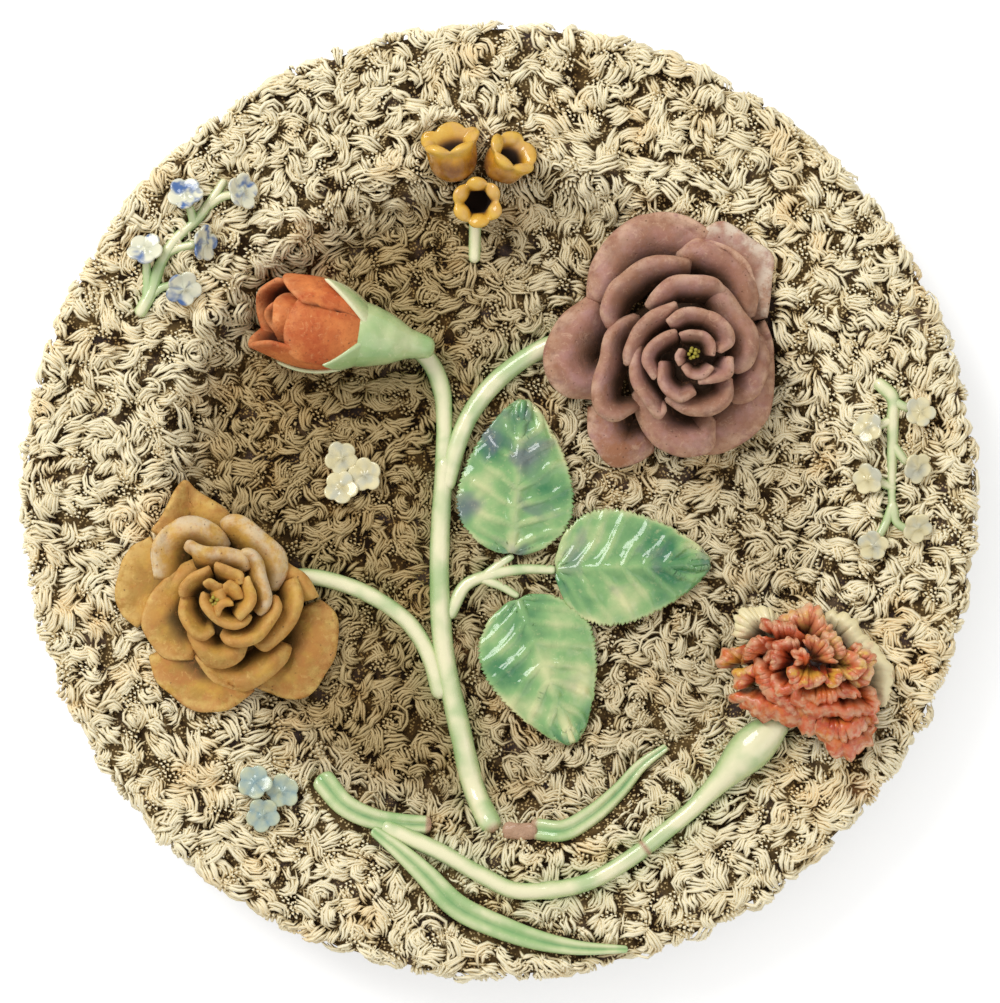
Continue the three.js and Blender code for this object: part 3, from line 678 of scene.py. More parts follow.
@dataclass(frozen=True)
class MossFinish:
    """Buff clay strands under a thin lead glaze, dark in the crevices partly from a brown wash that stays there
    and partly as painted shade, lighter on the strands' tops partly as a painted highlight, and darker over the
    well partly as painted shade.

    dots: share of pale grains on it, which also make it rough and dull.
    """

    name: str = "moss_clay"
    dots: float = 0.0
    crevice: Colour = (40, 26, 10)
    shade: Colour = (142, 116, 72)
    body: Colour = (228, 208, 160)
    light: Colour = (255, 244, 210)
    green: Colour = (120, 158, 104)
    rust: Colour = (196, 120, 70)
    lilac: Colour = (120, 104, 104)

    def make(self) -> bpy.types.Material:
        """The moss's material; it reads the values tone, strand, green and rust, and the well's darkening.

        Returns:
            The material.
        """
        s = Shading(self.name)
        cloud = s.noise(14.0, 3.0)
        grains = s.times(s.between(s.cells(1.25), 0.5, 0.22), s.between(s.noise(3.5, 2.0), 0.36, 0.52))
        tone = s.plus(s.value("tone"), s.times(s.value("strand"), 0.16))
        tone = s.less(tone, s.times(s.between(cloud, 0.62, 0.3), 0.12))
        tone = s.plus(tone, s.times(grains, self.dots))
        # The ramp's dark end is partly the brown wash in the hollows and partly painted shade; its light end on the
        # strands' tops is partly a painted highlight.
        colour = s.ramp(tone, (0.0, self.crevice), (0.3, self.shade), (0.62, self.body), (1.0, self.light))
        # Painted shade, partly wash: the well darkens, more on its left.
        dull = s.mix(s.value("zone"), colour, s.mix(1.0, colour, (182, 166, 134), "MULTIPLY"))
        warmth = s.times(s.between(s.noise(26.0, 2.0), 0.5, 0.75), 0.6)
        warm = s.mix(warmth, dull, s.mix(1.0, dull, (255, 236, 206), "MULTIPLY"))
        lilac = s.times(s.between(s.noise(22.0, 2.0), 0.55, 0.7), s.between(tone, 0.5, 0.25))
        grey = s.mix(s.times(lilac, 0.22), warm, self.lilac)
        green = s.mix(s.value("green"), grey, s.mix(0.75, grey, self.green, "MULTIPLY"))
        tinted = s.mix(s.value("rust"), green, s.mix(0.5, green, self.rust))
        fine = s.noise(1.1, 3.0, 0.6)
        coarse = s.bump(s.noise(2.6, 4.0, 0.7), 0.1 + 1.6 * self.dots, s.bump(fine, 0.12))
        return s.finish(Base_Color=tinted, Roughness=0.5 + 0.6 * self.dots, Normal=coarse,
                        Specular_IOR_Level=0.4 - 0.6 * self.dots)


@dataclass(frozen=True)
class ClayPetalFinish:
    """Coloured matte clay of rose petals, mottled, freckled; lips with a painted highlight, gaps with painted shade.
    """

    name: str
    body: Colour
    second: Colour
    lip: Colour
    warm: Colour
    gap: Colour
    bloom: Colour
    roughness: float = 0.72

    def make(self) -> bpy.types.Material:
        """The petals' material; it reads lip (painted highlight), the gaps' painted shade, warmth and bloom.

        Returns:
            The material.
        """
        s = Shading(self.name)
        cloud = s.noise(16.0, 5.0, 0.6, bend=0.4)
        blotch = s.noise(5.0, 5.0, 0.65)
        colour = s.mix(s.between(cloud, 0.38, 0.62), self.body, self.second)
        # Painted highlight: the rolled lips are lightened towards the lip colour.
        colour = s.mix(s.times(s.value("lip"), s.between(blotch, 0.3, 0.62)), colour, self.lip)
        warmth = s.times(s.value("warmth"), s.between(s.noise(9.0, 4.0, 0.6), 0.36, 0.6))
        colour = s.mix(warmth, colour, self.warm)
        bloom = s.times(s.value("bloom"), s.between(s.noise(7.0, 4.0, 0.6), 0.35, 0.62))
        colour = s.mix(bloom, colour, self.bloom)
        stamen = s.mix(s.noise(1.5), (196, 184, 70), (132, 124, 52))
        # Painted shade: gaps between petals, their inner walls and the cone inside go dark brown; stamens get their
        # yellow.
        colour = s.mix(s.value("stamen"), s.mix(s.value("gap"), colour, self.gap), stamen)
        freckles = s.times(s.between(s.cells(3.4), 0.16, 0.06), s.between(blotch, 0.45, 0.6))
        colour = s.mix(s.times(freckles, 0.75), colour, (96, 62, 40))
        scuffs = s.between(s.noise(3.0, 7.0, 0.8), 0.52, 0.66)
        colour = s.mix(s.times(scuffs, 0.5), colour, self.warm)
        worn = s.between(s.noise(4.4, 7.0, 0.8, bend=1.0), 0.53, 0.68)
        colour = s.mix(s.times(worn, s.less(0.55, s.value("gap"))), colour, self.lip)
        grain = s.bump(s.noise(0.9, 4.0, 0.6), 0.16, s.bump(s.noise(4.0, 4.0, 0.6), 0.5))
        pores = s.bump(s.between(s.cells(3.4), 0.05, 0.16), 0.18, grain)
        return s.finish(Base_Color=colour, Roughness=self.roughness, Normal=pores, Specular_IOR_Level=0.3)


@dataclass(frozen=True)
class GlazeFinish:
    """Glossy coloured lead glaze: thin and pale on the high places, deep where it pools. On the tops of bars
    the pale is partly a painted highlight, and hollows such as the inside of a cup are painted dark as shade.
    """

    name: str
    thin: Colour
    body: Colour
    deep: Colour
    stain: Colour
    stained: float = 0.0
    cloud: float = 12.0
    roughness: float = 0.16
    clay: Colour = (214, 176, 144)

    def make(self) -> bpy.types.Material:
        """The glaze; it reads crest (1 where it is thin, on bar tops partly a painted highlight), bare (1 where
        there is none), the painted shade of hollows, and fresh.

        Returns:
            The material.
        """
        s = Shading(self.name)
        cloud = s.noise(self.cloud, 4.0, 0.6)
        # crest pales the glaze: thin glaze on high places, and on bar tops partly a painted highlight.
        depth = s.plus(s.times(s.value("crest"), 0.7), s.times(cloud, 0.55))
        colour = s.ramp(depth, (0.22, self.deep), (0.55, self.body), (0.92, self.thin))
        patches = s.between(s.noise(self.cloud * 1.4, 2.0, 0.5, bend=0.4), 0.42, 0.7)
        patches = s.less(patches, s.value("fresh"))
        colour = s.mix(s.times(patches, self.stained), colour, self.stain)
        streaks = s.between(s.noise(2.6, 5.0, 0.7), 0.56, 0.72)
        colour = s.mix(s.times(streaks, 0.3), colour, self.thin)
        colour = s.mix(s.value("bare"), colour, s.mix(s.noise(2.0, 5.0, 0.7), self.clay, (168, 126, 98)))
        # Painted shade: hollows such as the inside of a cup go dark, rough and without coat.
        colour = s.mix(s.value("gap"), colour, (44, 28, 16))
        dull = s.times(s.between(s.noise(4.0, 4.0), 0.35, 0.7), self.roughness * 1.6)
        rough = s.plus(s.times(s.value("bare"), 0.7), dull)
        rough = s.plus(rough, s.value("gap"))
        coat = s.times(s.less(1.0, s.value("gap")), 0.35)
        waves = s.bump(s.noise(3.4, 2.0, 0.4), 0.22)
        pits = s.bump(s.between(s.cells(2.1), 0.04, 0.12), 0.07, waves)
        coarse = s.bump(s.times(s.noise(1.0, 4.0, 0.7), s.value("bare")), 0.7, pits)
        return s.finish(Base_Color=colour, Roughness=rough, Normal=coarse, Coat_Weight=coat,
                        Coat_Roughness=0.06)


class Glaze(Enum):
    """The finishes that more than one sub-assembly shares."""

    STEM = GlazeFinish("green_glaze", (244, 238, 196), (190, 208, 148), (100, 156, 94), (136, 184, 112), 0.6, 14.0)
    LEAF = GlazeFinish("leaf_glaze", (228, 226, 168), (140, 182, 116), (56, 126, 80), (98, 104, 120), 0.85,
                       13.0, 0.1)
    SCAR = GlazeFinish("bare_clay", (190, 150, 115), (172, 132, 98), (120, 84, 58), (150, 110, 80), 0.3)
    YELLOW = GlazeFinish("yellow_glaze", (232, 190, 80), (212, 150, 38), (136, 84, 26), (206, 160, 120), 0.4,
                         6.0, 0.22)
    BLUE_WHITE = GlazeFinish("blue_white_glaze", (236, 232, 204), (216, 216, 190), (150, 158, 120),
                             (70, 104, 158), 1.0, 4.0)
    CREAM = GlazeFinish("cream_glaze", (236, 224, 178), (216, 202, 152), (170, 148, 98), (170, 182, 184), 0.5,
                        5.0, 0.3)
    BLUE = GlazeFinish("blue_glaze", (196, 204, 176), (136, 164, 168), (70, 104, 128), (210, 200, 130), 0.35,
                       4.0)
    DISH = GlazeFinish("dish_glaze", (170, 138, 84), (112, 86, 50), (58, 42, 26), (74, 88, 56), 0.6, 40.0, 0.2)

    @functools.cache
    def material(self) -> bpy.types.Material:
        """The finish's material, made once."""
        return self.value.make()


MAUVE = ClayPetalFinish("mauve_clay", (176, 130, 122), (152, 112, 94), (216, 178, 150), (160, 106, 74),
                        (62, 42, 24), (228, 212, 190))
OCHRE = ClayPetalFinish("ochre_clay", (208, 160, 70), (172, 130, 58), (226, 190, 112), (190, 122, 66),
                        (78, 58, 22), (222, 206, 178), 0.6)
RUST = ClayPetalFinish("rust_clay", (226, 136, 74), (200, 98, 50), (234, 168, 112), (160, 66, 34),
                       (50, 26, 16), (222, 170, 130))


STANDING: list[np.ndarray] = []
LYING_SLOTS = ("moss_clay", "dish_glaze", "green_glaze", "bare_clay")


def new_object(name: str, data: bpy.types.ID) -> bpy.types.Object:
    """An object of some data, in the scene.

    Args:
        name: The object's name.
        data: Its mesh, lamp or camera.

    Returns:
        The object.
    """
    made = bpy.data.objects.new(name, data)
    bpy.context.scene.collection.objects.link(made)
    return made


def add_piece(name: str, body: Surface, material: bpy.types.Material, slot: str, *nodes: str) -> None:
    """Makes a mesh object of a body, dresses it and sets it in the frame.

    The points of a piece that presses the moss down are kept for it.

    Args:
        name: The piece's name.
        body: Its shape in millimetres.
        material: Its finish.
        slot: Name of the record's material slot; it only tells lying pieces from standing ones.
        nodes: The construction's nodes that it stands for.
    """
    if slot not in LYING_SLOTS or name.startswith("blade"):
        STANDING.append(body.points)
    mesh = bpy.data.meshes.new(name)
    corners = body.faces[body.faces >= 0]
    sizes = (body.faces >= 0).sum(axis=1)
    starts = np.concatenate([[0], np.cumsum(sizes)[:-1]])
    mesh.vertices.add(len(body.points))
    mesh.vertices.foreach_set("co", (body.points * METRES).astype(np.float32).ravel())
    mesh.loops.add(len(corners))
    mesh.loops.foreach_set("vertex_index", corners.astype(np.int32))
    mesh.polygons.add(len(sizes))
    mesh.polygons.foreach_set("loop_start", starts.astype(np.int32))
    mesh.polygons.foreach_set("use_smooth", np.ones(len(sizes), bool))
    mesh.update(calc_edges=True)
    for value_name, value in body.values.items():
        attribute = mesh.attributes.new(value_name, "FLOAT", "POINT")
        attribute.data.foreach_set("value", np.asarray(value, np.float32))
    mesh.materials.append(material)
    piece = new_object(name, mesh)
    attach(piece, BODY)
    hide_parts(*nodes)
    LOG.info("%s: %d triangles", name, int((sizes - 2).sum()))


def add_glazed(name: str, body: Surface, glaze: Glaze) -> None:
    """Adds a piece in a shared glaze, which stands for the node of its own name."""
    add_piece(name, body, glaze.material(), glaze.value.name, name)


# Roses


@dataclass(frozen=True)
class Petal:
    """One petal of a rose, by the lip that shows in the picture.

    lip: spots of its outer edge in the picture, across and down in turn; rise: height of the lip over the
    well's moss; band: width of the rolled lip; drop: how far its outer edge hangs below its crest; wall and
    depth: how wide and how deep its inner side falls towards the heart; fall: how far its two ends sink;
    warmth and bloom: stains.
    """

    lip: tuple[float, ...]
    rise: float
    band: float = 7.0
    drop: float = 4.0
    wall: float = 7.0
    depth: float = 12.0
    fall: float = 6.0
    warmth: float = 0.45
    bloom: float = 0.0


@dataclass
class Rose:
    """A full-blown flower of separate petals luted round its heart.

    heart: spot of its middle in the picture; highest: height that nothing of it passes; core: radius of the
    cone inside, painted dark as shade; rows and columns: grid of a petal; ragged: how far a petal's edge is torn;
    narrow: share of a petal's band that its lip takes; floor_gap: least height of a petal over the moss;
    ceiling_gap: how far its middle stays under the highest place.
    """

    name: str
    finish: "ClayPetalFinish | CarnationFinish"
    heart: tuple[float, float]
    petals: tuple[Petal, ...]
    highest: float
    stamens: int = 9
    thickness: float = 2.5
    core: float = 30.0
    rows: int = 19
    columns: int = 33
    ragged: float = 0.0
    narrow: float = 0.88
    floor_gap: float = 2.3
    ceiling_gap: float = 1.4

    def lip_line(self, petal: Petal, top: float, seed: float) -> tuple[np.ndarray, ...]:
        """The line of a petal's lip, made uneven and torn by noise, and its ways inwards.

        A way is 0.55 of the direction to the heart plus 0.45 of the lip's normal, softened twice along it.

        Args:
            petal: The petal's sizes.
            top: Height of the lip's crest.
            seed: Draws its noise.

        Returns:
            The lip's places, the ways inwards, the distances to the heart and the places that draw the noise.
        """
        share = np.linspace(0.0, 1.0, self.columns)
        lip = smooth_line(PICTURE.plan(np.reshape(petal.lip, (-1, 2)), top), share)
        run = np.linalg.norm(np.diff(lip, axis=0), axis=1).sum()
        ruffle = np.column_stack([share * run, np.full(self.columns, seed), np.zeros(self.columns)])
        lip = softened(lip + 0.9 * np.stack([lumps(ruffle, 9.0), lumps(ruffle, 9.0, 5.0)], -1))
        jag = self.ragged * (0.9 * lumps(ruffle, 2.6, 9.0) + 0.7 * lumps(ruffle, 1.4, 2.0) - 0.5)
        towards = PICTURE.plan([self.heart], top)[0] - lip
        along = unit(np.gradient(lip, axis=0))
        normal = np.stack([-along[:, 1], along[:, 0]], axis=-1)
        normal *= np.sign((normal * towards).sum(1, keepdims=True))
        inward = unit(softened(softened(0.55 * unit(towards) + 0.45 * normal)))
        return lip + inward * jag[:, None], inward, np.linalg.norm(towards, axis=1), ruffle

    def petal(self, petal: Petal, seed: float) -> Surface:
        """Builds one petal.

        From each place of the lip its surface goes towards the heart: up by the drop to its crest, as a power
        of what is left of the way, then down by the depth as the power 1.6 of the share inwards. The ends sink
        by the fall times the fifth power of the share from the middle. Clouds of noise make it uneven.

        Args:
            petal: The petal's sizes.
            seed: Draws its noise.

        Returns:
            A closed sheet.
        """
        top = WELL_TOP + petal.rise
        share = np.linspace(0.0, 1.0, self.columns)
        lip, inward, distance, ruffle = self.lip_line(petal, top, seed)
        reach = np.minimum(petal.band + petal.wall, 0.94 * distance + 1.0)
        rows = ramp_rows(0.12, 1.0, self.rows)
        aside = np.abs(2 * share - 1)
        taper = 1 - 0.62 * aside ** 4
        band = petal.band * taper * self.narrow
        reach = reach * (0.35 + 0.65 * taper)
        steps = rows[:, None] * reach
        steps += 0.45 * lumps(np.stack([steps, share * 60 + 0 * steps, 0 * steps + seed], -1), 7.0)
        plan = lip + inward * steps[..., None]
        peak = band * np.interp(petal.band, [5.0, 11.0], [0.4, 0.85])
        crest = np.clip(steps / peak, 0.0, 1.0)
        inside = np.clip((steps - peak) / (petal.wall + band - peak), 0.0, 1.0)
        height = top - petal.drop * (1 - crest) ** 1.4 - petal.depth * inside ** 1.6
        height -= petal.fall * aside ** 5
        height += 0.3 * self.ragged * np.sin(2.3 * ruffle[:, 0] + 4 * lumps(ruffle, 5.0)) * np.exp(-steps / 9)
        height += self.ragged * (1.2 * lumps(ruffle, 5.0, 4.0) + 0.5 * lumps(ruffle, 2.2, 6.0)) * np.exp(-steps / 7)
        middle = np.dstack([plan, height])
        flat = middle * [1, 1, 0.3]
        middle[..., 2] += 1.1 * lumps(flat, 11.0, seed) + 0.25 * lumps(flat, 4.0, seed + 3)
        floor = FORM.under(plan) + self.floor_gap + 0.14 * petal.rise
        middle[..., 2] = np.clip(middle[..., 2], floor, self.highest - self.ceiling_gap)
        edge = np.minimum(steps, np.minimum(share, share[::-1]) * 200)
        half = 0.5 * self.thickness * rounded(edge, 0.9) * (0.62 + 0.38 * min(petal.band / 9.0, 1.0))
        # Painted shade: each petal's inner wall darkens as it falls towards the heart.
        gap = (0.76 if self.ragged else 0.96) * ease((steps - band * 0.9) / (petal.wall * 0.8))
        full = np.ones_like(steps)
        bloom = petal.bloom * (full if self.ragged else ease(1.25 - steps / band))
        # lip marks the rolled lip for a painted highlight; bloom is the petal's pale stain.
        return pillow(middle, half, lip=bell(steps, petal.band * 0.45), gap=gap, warmth=petal.warmth * full,
                      bloom=bloom)

    def filling(self) -> list[Surface]:
        """The cone inside the petals, painted dark as shade, and the stamens at the heart.

        Returns:
            The bodies.
        """
        heart = PICTURE.plan([self.heart], self.highest - 8)[0]
        base = FORM.seat + float(FORM.under(heart))
        tall = max(self.highest - 17.0 - base, 6.0)
        share = np.linspace(0.0, 1.0, 14)[:, None]
        angle = full_turn(48)
        radius = self.core * np.sqrt(np.clip(1 - share ** 2, 0.0004, 1)) * (1 + 0.06 * np.sin(5 * angle))
        grid = np.stack([heart[0] + radius * np.cos(angle), heart[1] + radius * np.sin(angle),
                         base + tall * share + 0 * angle], -1)
        # The cone is a dark body where the petals leave only shade: painted shade.
        bodies = [ringed(grid).valued(gap=1.0)]
        for k in range(self.stamens):
            turn, out = 2.4 * k, 0.9 * np.sqrt(k)
            way = np.array([np.cos(turn), np.sin(turn)])
            foot = np.array([*(heart + 0.6 * out * way), self.highest - 18])
            tip = foot + [*(0.8 * way), 13.5 - 0.25 * k]
            line = foot + (tip - foot) * np.linspace(0, 1, 6)[:, None]
            bodies.append(bar(line, np.linspace(0.5, 0.85, 6), 8).valued(stamen=1.0))
        return bodies

    def build(self) -> None:
        """Adds the rose."""
        bodies = [self.petal(petal, 3.7 * k + len(self.name)) for k, petal in enumerate(self.petals)]
        add_piece(self.name, joined(bodies + self.filling()), self.finish.make(), self.finish.name, self.name)


MAUVE_PETALS = (
    Petal((603, 398, 566, 396, 546, 372, 545, 345, 560, 315, 592, 292), 17, 12, 6, 16, 12),
    Petal((589, 300, 590, 268, 610, 235, 636, 215, 665, 211, 699, 222, 712, 232), 19, 12, 6, 14, 11),
    Petal((700, 233, 722, 222, 745, 236, 771, 256, 770, 285, 768, 318), 15, 9, 5, 10, 10, bloom=0.8),
    Petal((676, 252, 698, 238, 725, 243, 748, 262, 758, 288, 755, 316), 22, 9, 5, 8, 12),
    Petal((766, 320, 775, 345, 774, 380, 767, 420, 742, 442, 712, 454, 690, 452), 14, 14, 6, 14, 11),
    Petal((762, 335, 770, 355, 763, 385, 745, 402, 733, 405), 20, 8, 4, 8, 12),
    Petal((701, 275, 725, 286, 743, 308, 759, 331, 758, 353, 751, 366, 734, 371), 28, 8, 5, 6, 12),
    Petal((634, 390, 636, 417, 647, 436, 669, 453, 693, 458, 706, 454, 717, 417), 21, 10, 5, 8, 12),
    Petal((590, 405, 588, 432, 600, 455, 614, 467, 640, 462, 655, 450), 11, 12, 4, 9, 8, 5, 0.9),
    Petal((640, 312, 622, 318, 606, 335, 599, 360, 593, 390, 597, 414, 615, 423, 632, 408), 25, 6, 3, 7, 12),
    Petal((610, 329, 601, 310, 607, 294, 614, 279, 636, 262, 660, 253, 681, 257, 692, 260), 27, 6, 3, 7, 12),
    Petal((644, 306, 654, 289, 672, 277, 695, 273, 716, 277, 728, 288), 31, 6, 3, 5, 11),
    Petal((623, 367, 622, 352, 634, 330, 652, 309, 676, 299), 33, 5, 3, 5, 12, 3),
    Petal((636, 340, 630, 362, 632, 382, 645, 400, 658, 418, 668, 408), 32, 4.5, 2.5, 4.5, 12, 3),
    Petal((667, 319, 680, 309, 697, 306, 712, 311), 34.5, 4.5, 2, 4, 12, 2),
    Petal((700, 308, 717, 312, 731, 326, 733, 343, 720, 352), 34.5, 5, 2, 4, 12, 2),
    Petal((734, 356, 732, 373, 716, 382, 699, 384), 34, 4.5, 2, 4, 12, 2),
    Petal((665, 400, 681, 412, 697, 416, 714, 416, 734, 401, 734, 377), 29, 6, 3, 5, 12, 4),
    Petal((676, 330, 660, 333, 647, 345, 643, 362, 650, 375, 655, 381), 33.5, 3.6, 2, 4, 12, 2),
    Petal((658, 362, 658, 377, 669, 395, 682, 401, 697, 393), 32.5, 4, 2, 4, 12, 2),
    Petal((677, 334, 693, 329, 706, 331, 715, 343, 714, 356), 35, 2.6, 1.5, 3, 10, 1.5),
    Petal((680, 366, 688, 377, 703, 378, 713, 367), 34.5, 2.6, 1.5, 3, 10, 1.5),
    Petal((679, 347, 674, 356, 678, 366), 34.5, 2.2, 1.5, 3, 10, 1),
)
OCHRE_PETALS = (
    Petal((155, 530, 166, 510, 178, 485, 185, 476, 196, 490, 214, 501, 229, 513), 8, 12, 3, 12, 6, 3, 0.5),
    Petal((155, 536, 135, 546, 123, 566, 119, 601, 128, 619, 138, 627), 10, 14, 4, 14, 8, 4, 0.2),
    Petal((199, 557, 182, 566, 162, 582, 148, 600, 139, 622, 150, 641, 170, 660, 193, 662), 21, 9, 4, 8, 10),
    Petal((156, 579, 154, 543, 163, 528, 186, 516, 206, 520, 223, 531, 229, 545), 19, 9, 4, 8, 11, 6, 0.2, 0.7),
    Petal((219, 525, 228, 515, 244, 516, 266, 533, 284, 553, 285, 574, 274, 591), 18, 8, 4, 8, 11, 6, 0.2, 0.7),
    Petal((184, 551, 188, 540, 199, 545, 229, 546, 246, 553, 251, 569), 27, 6.5, 3, 5, 11, 4, 0.3, 0.6),
    Petal((241, 551, 249, 548, 259, 556, 267, 579, 272, 598, 266, 613, 259, 617), 28, 5, 3, 4, 12, 4, 0.3, 0.7),
    Petal((297, 576, 302, 601, 296, 624, 279, 644, 267, 653, 251, 642), 20, 6, 3, 7, 12),
    Petal((289, 563, 306, 576, 319, 598), 13, 7, 3, 8, 9, 3),
    Petal((321, 599, 337, 613, 339, 634, 329, 669, 314, 692, 299, 700, 277, 698, 256, 687), 9, 14, 4, 12, 7, 4,
          0.6),
    Petal((153, 654, 158, 676, 178, 697, 206, 710, 231, 707, 254, 691), 9, 12, 4, 9, 7, 4, 0.7),
    Petal((193, 656, 203, 671, 223, 687, 244, 690, 269, 677, 289, 657, 291, 644), 17, 8, 4, 7, 11),
    Petal((181, 619, 183, 636, 194, 652, 209, 664, 226, 666, 241, 657, 248, 644), 22, 8, 4, 6, 12),
    Petal((219, 634, 223, 642, 238, 646, 258, 641, 274, 622, 280, 601, 276, 594), 26, 5, 3, 4.5, 12, 4),
    Petal((183, 591, 180, 614, 193, 636, 203, 639, 214, 631), 26, 5, 3, 4, 12, 4),
    Petal((181, 596, 180, 588, 190, 574, 208, 564), 29, 4, 2, 4, 12, 3),
    Petal((203, 591, 199, 603, 208, 616, 223, 627, 238, 630, 251, 622, 253, 616), 29, 4, 2, 4, 12, 3),
    Petal((249, 576, 254, 593, 251, 611, 241, 622), 31, 4, 2, 4, 12, 2),
    Petal((214, 563, 229, 566, 243, 573, 244, 583), 31, 4, 2, 4, 12, 2),
    Petal((201, 584, 209, 579, 223, 583), 31, 3, 1.5, 3, 10, 1.5),
    Petal((225, 604, 224, 590, 230, 579, 240, 587, 243, 598), 30, 5, 2, 4, 9, 2),
    Petal((217, 617, 223, 607, 233, 605), 30.5, 4, 1.5, 3, 9, 1.5),
)


# The rosebud


@dataclass(frozen=True)
class WrappedPetal:
    """A petal wrapped round a bud: its angles round the axis, its reach along it and its flare."""

    start: float
    end: float
    reach: float
    radius: float
    flare: float = 0.0
    point: float = 5.0
    lip: float = 0.6


@dataclass
class Rosebud:
    """A half-open bud that lies along its axis, with a calyx of sepals."""

    name: str = "rosebud"
    origin: tuple[float, float] = (372.0, 336.0)
    level: float = 38.0
    azimuth: float = 169.0
    elevation: float = 7.0
    petals: tuple[WrappedPetal, ...] = (
        WrappedPetal(30, 140, 37, 17.8, -1.5, 5),
        WrappedPetal(-80, 52, 51, 17.0, 4.0, 9),
        WrappedPetal(112, 205, 41, 18.6, 2.0, 8),
        WrappedPetal(175, 305, 50, 16.6, 3.0, 7),
        WrappedPetal(20, 190, 44, 10.5, 0.0, 6),
        WrappedPetal(170, 330, 45, 8.0, 0.0, 6),
    )
    sepals: Spots = ((148, 31, 19, 3.5), (34, 25, 22, 0.8), (-16, 43, 15, 1.0), (-75, 36, 16, 0.5),
                     (-130, 34, 16, 0.5))
    highest: float = 62.0

    def frame(self) -> tuple[np.ndarray, np.ndarray]:
        """The origin, and rows of axis, side and up."""
        place = PICTURE.plan([self.origin], self.level)[0]
        return np.array([*place, self.level]), axes(self.azimuth, self.elevation)

    def wrapped(self, petal: WrappedPetal, seed: float) -> Surface:
        """One wrapped petal: an ovoid's radius, sin of the share to the power 0.6, plus a flared lip.

        Where its inner side shows it is painted dark below the lip, as shade.

        Args:
            petal: The petal's sizes.
            seed: Draws its noise.

        Returns:
            A closed sheet.
        """
        origin, rows = self.frame()
        u = np.linspace(0, 1, 34)
        v = 1 - ramp_rows(0.1, 1.0, 19)[:, None]
        angle = np.radians(petal.start + (petal.end - petal.start) * u)
        reach = petal.reach - petal.point * np.abs(2 * u - 1) ** 2.5 + 0.9 * np.sin(5 * u + seed)
        a = v * reach
        radius = petal.radius * np.sin(np.pi * np.clip(a / 62.0 + 0.08, 0, 1)) ** 0.6 + petal.flare * v ** 8
        radius = radius + 0.5 * np.sin(3 * angle + seed) + 1.2 * np.abs(2 * u - 1) ** 6 * v
        middle = origin + a[..., None] * rows[0] + radius[..., None] * around(angle, rows)
        middle = middle + 0.35 * lumps(middle, 7.0, seed)[..., None] * rows[2]
        half = 1.1 * rounded((1 - v) * petal.reach + 0 * a, 1.2)
        # Painted highlight along the edge, and painted shade low inside the inner petals.
        lip = bell((1 - v) * petal.reach, 4.0) + 0 * a
        gap = 0.75 * ease(1.6 - 2.6 * v) * (petal.radius < 14) + 0 * a
        body = pillow(middle, half, lip=lip * petal.lip, gap=gap, warmth=0.3 + 0 * a, wall=radius,
                      deep=(1 - v) * reach)
        # Painted shade on the inner side that faces the axis, growing from 1 mm to 8 mm in from the edge.
        away = body.points - origin
        away = away - (away @ rows[0])[:, None] * rows[0]
        inside = np.linalg.norm(away, axis=1) < body.values["wall"]
        inner_shade = 0.92 * inside * ease((body.values["deep"] - 1) / 7)
        return self.kept(body.valued(gap=np.maximum(body.values["gap"], inner_shade)))

    def core(self) -> Surface:
        """A spindle inside the petals, painted dark as shade.

        Returns:
            The closed spindle.
        """
        origin, rows = self.frame()
        a = np.linspace(-4, 38, 16)[:, None, None]
        radius = 9.0 * np.sqrt(np.clip(1 - ((a - 17) / 21.5) ** 2, 0.001, 1))
        return ringed(origin + a * rows[0] + radius * around(full_turn(28), rows)).valued(gap=1.0)

    def kept(self, body: Surface) -> Surface:
        """The body with nothing below the moss or above the highest place."""
        body.points[:, 2] = np.clip(body.points[:, 2], FORM.under(body.points) + 0.9, self.highest)
        return body

    def calyx(self) -> Surface:
        """The green cup under the petals and its pointed sepals.

        Returns:
            The joined bodies.
        """
        origin, rows = self.frame()
        a = np.concatenate([[-27.0, -26.8, -26.2, -25.0], np.linspace(-23, 9, 24)])
        radius = np.interp(a, [-27, -26.8, -26.2, -25, -23, -16, -8, 0, 6, 9],
                           [0.5, 1.9, 3.3, 4.4, 4.9, 6.4, 10.5, 13.0, 14.1, 13.2])
        angle = full_turn(36)
        ring = around(angle, rows)
        sink = 1.5 * (a < -14) * (a + 14) / 12
        grid = origin + a[:, None, None] * rows[0] + radius[:, None, None] * ring + sink[:, None, None] * rows[2]
        grid = grid + 0.4 * lumps(grid, 6.0)[..., None] * rows[2]
        # The calyx's up side is paler: partly thin glaze, partly a painted highlight.
        crest = np.broadcast_to(0.22 + 0.3 * np.sin(angle), grid.shape[:2])
        bodies = [ringed(grid, crest=crest)]
        for turn, length, wide, curl in self.sepals:
            u, v = np.linspace(-1, 1, 17), np.linspace(0, 1, 26)[:, None]
            half_width = 0.5 * wide * np.sin(np.pi * (0.36 + 0.64 * v)) ** 1.1 + 0.25
            reach = -6 + v * length
            out = 18.2 * np.sin(np.pi * np.clip(reach / 62 + 0.08, 0.03, 1)) ** 0.6 + 1.0 + curl * v ** 3
            swing = np.radians(turn) + u * half_width / np.maximum(out, 8)
            middle = origin + reach[..., None] * rows[0] + out[..., None] * around(swing, rows)
            half = 0.85 * rounded((1 - np.abs(u)) * half_width, 0.9)
            middle = middle + 0.5 * lumps(middle, 7.0, turn)[..., None] * rows[2]
            bodies.append(pillow(middle, half, crest=(0.2 + 0.5 * np.abs(u)) + 0.2 * v))
        return self.kept(joined(bodies))

    def build(self) -> None:
        """Adds the petals and the calyx."""
        petals = joined([*(self.wrapped(petal, 2.3 * k) for k, petal in enumerate(self.petals)), self.core()])
        add_piece("rosebud_petals", petals, RUST.make(), RUST.name, "rosebud_petals")
        add_glazed("rosebud_calyx", self.calyx(), Glaze.STEM)


# The carnation


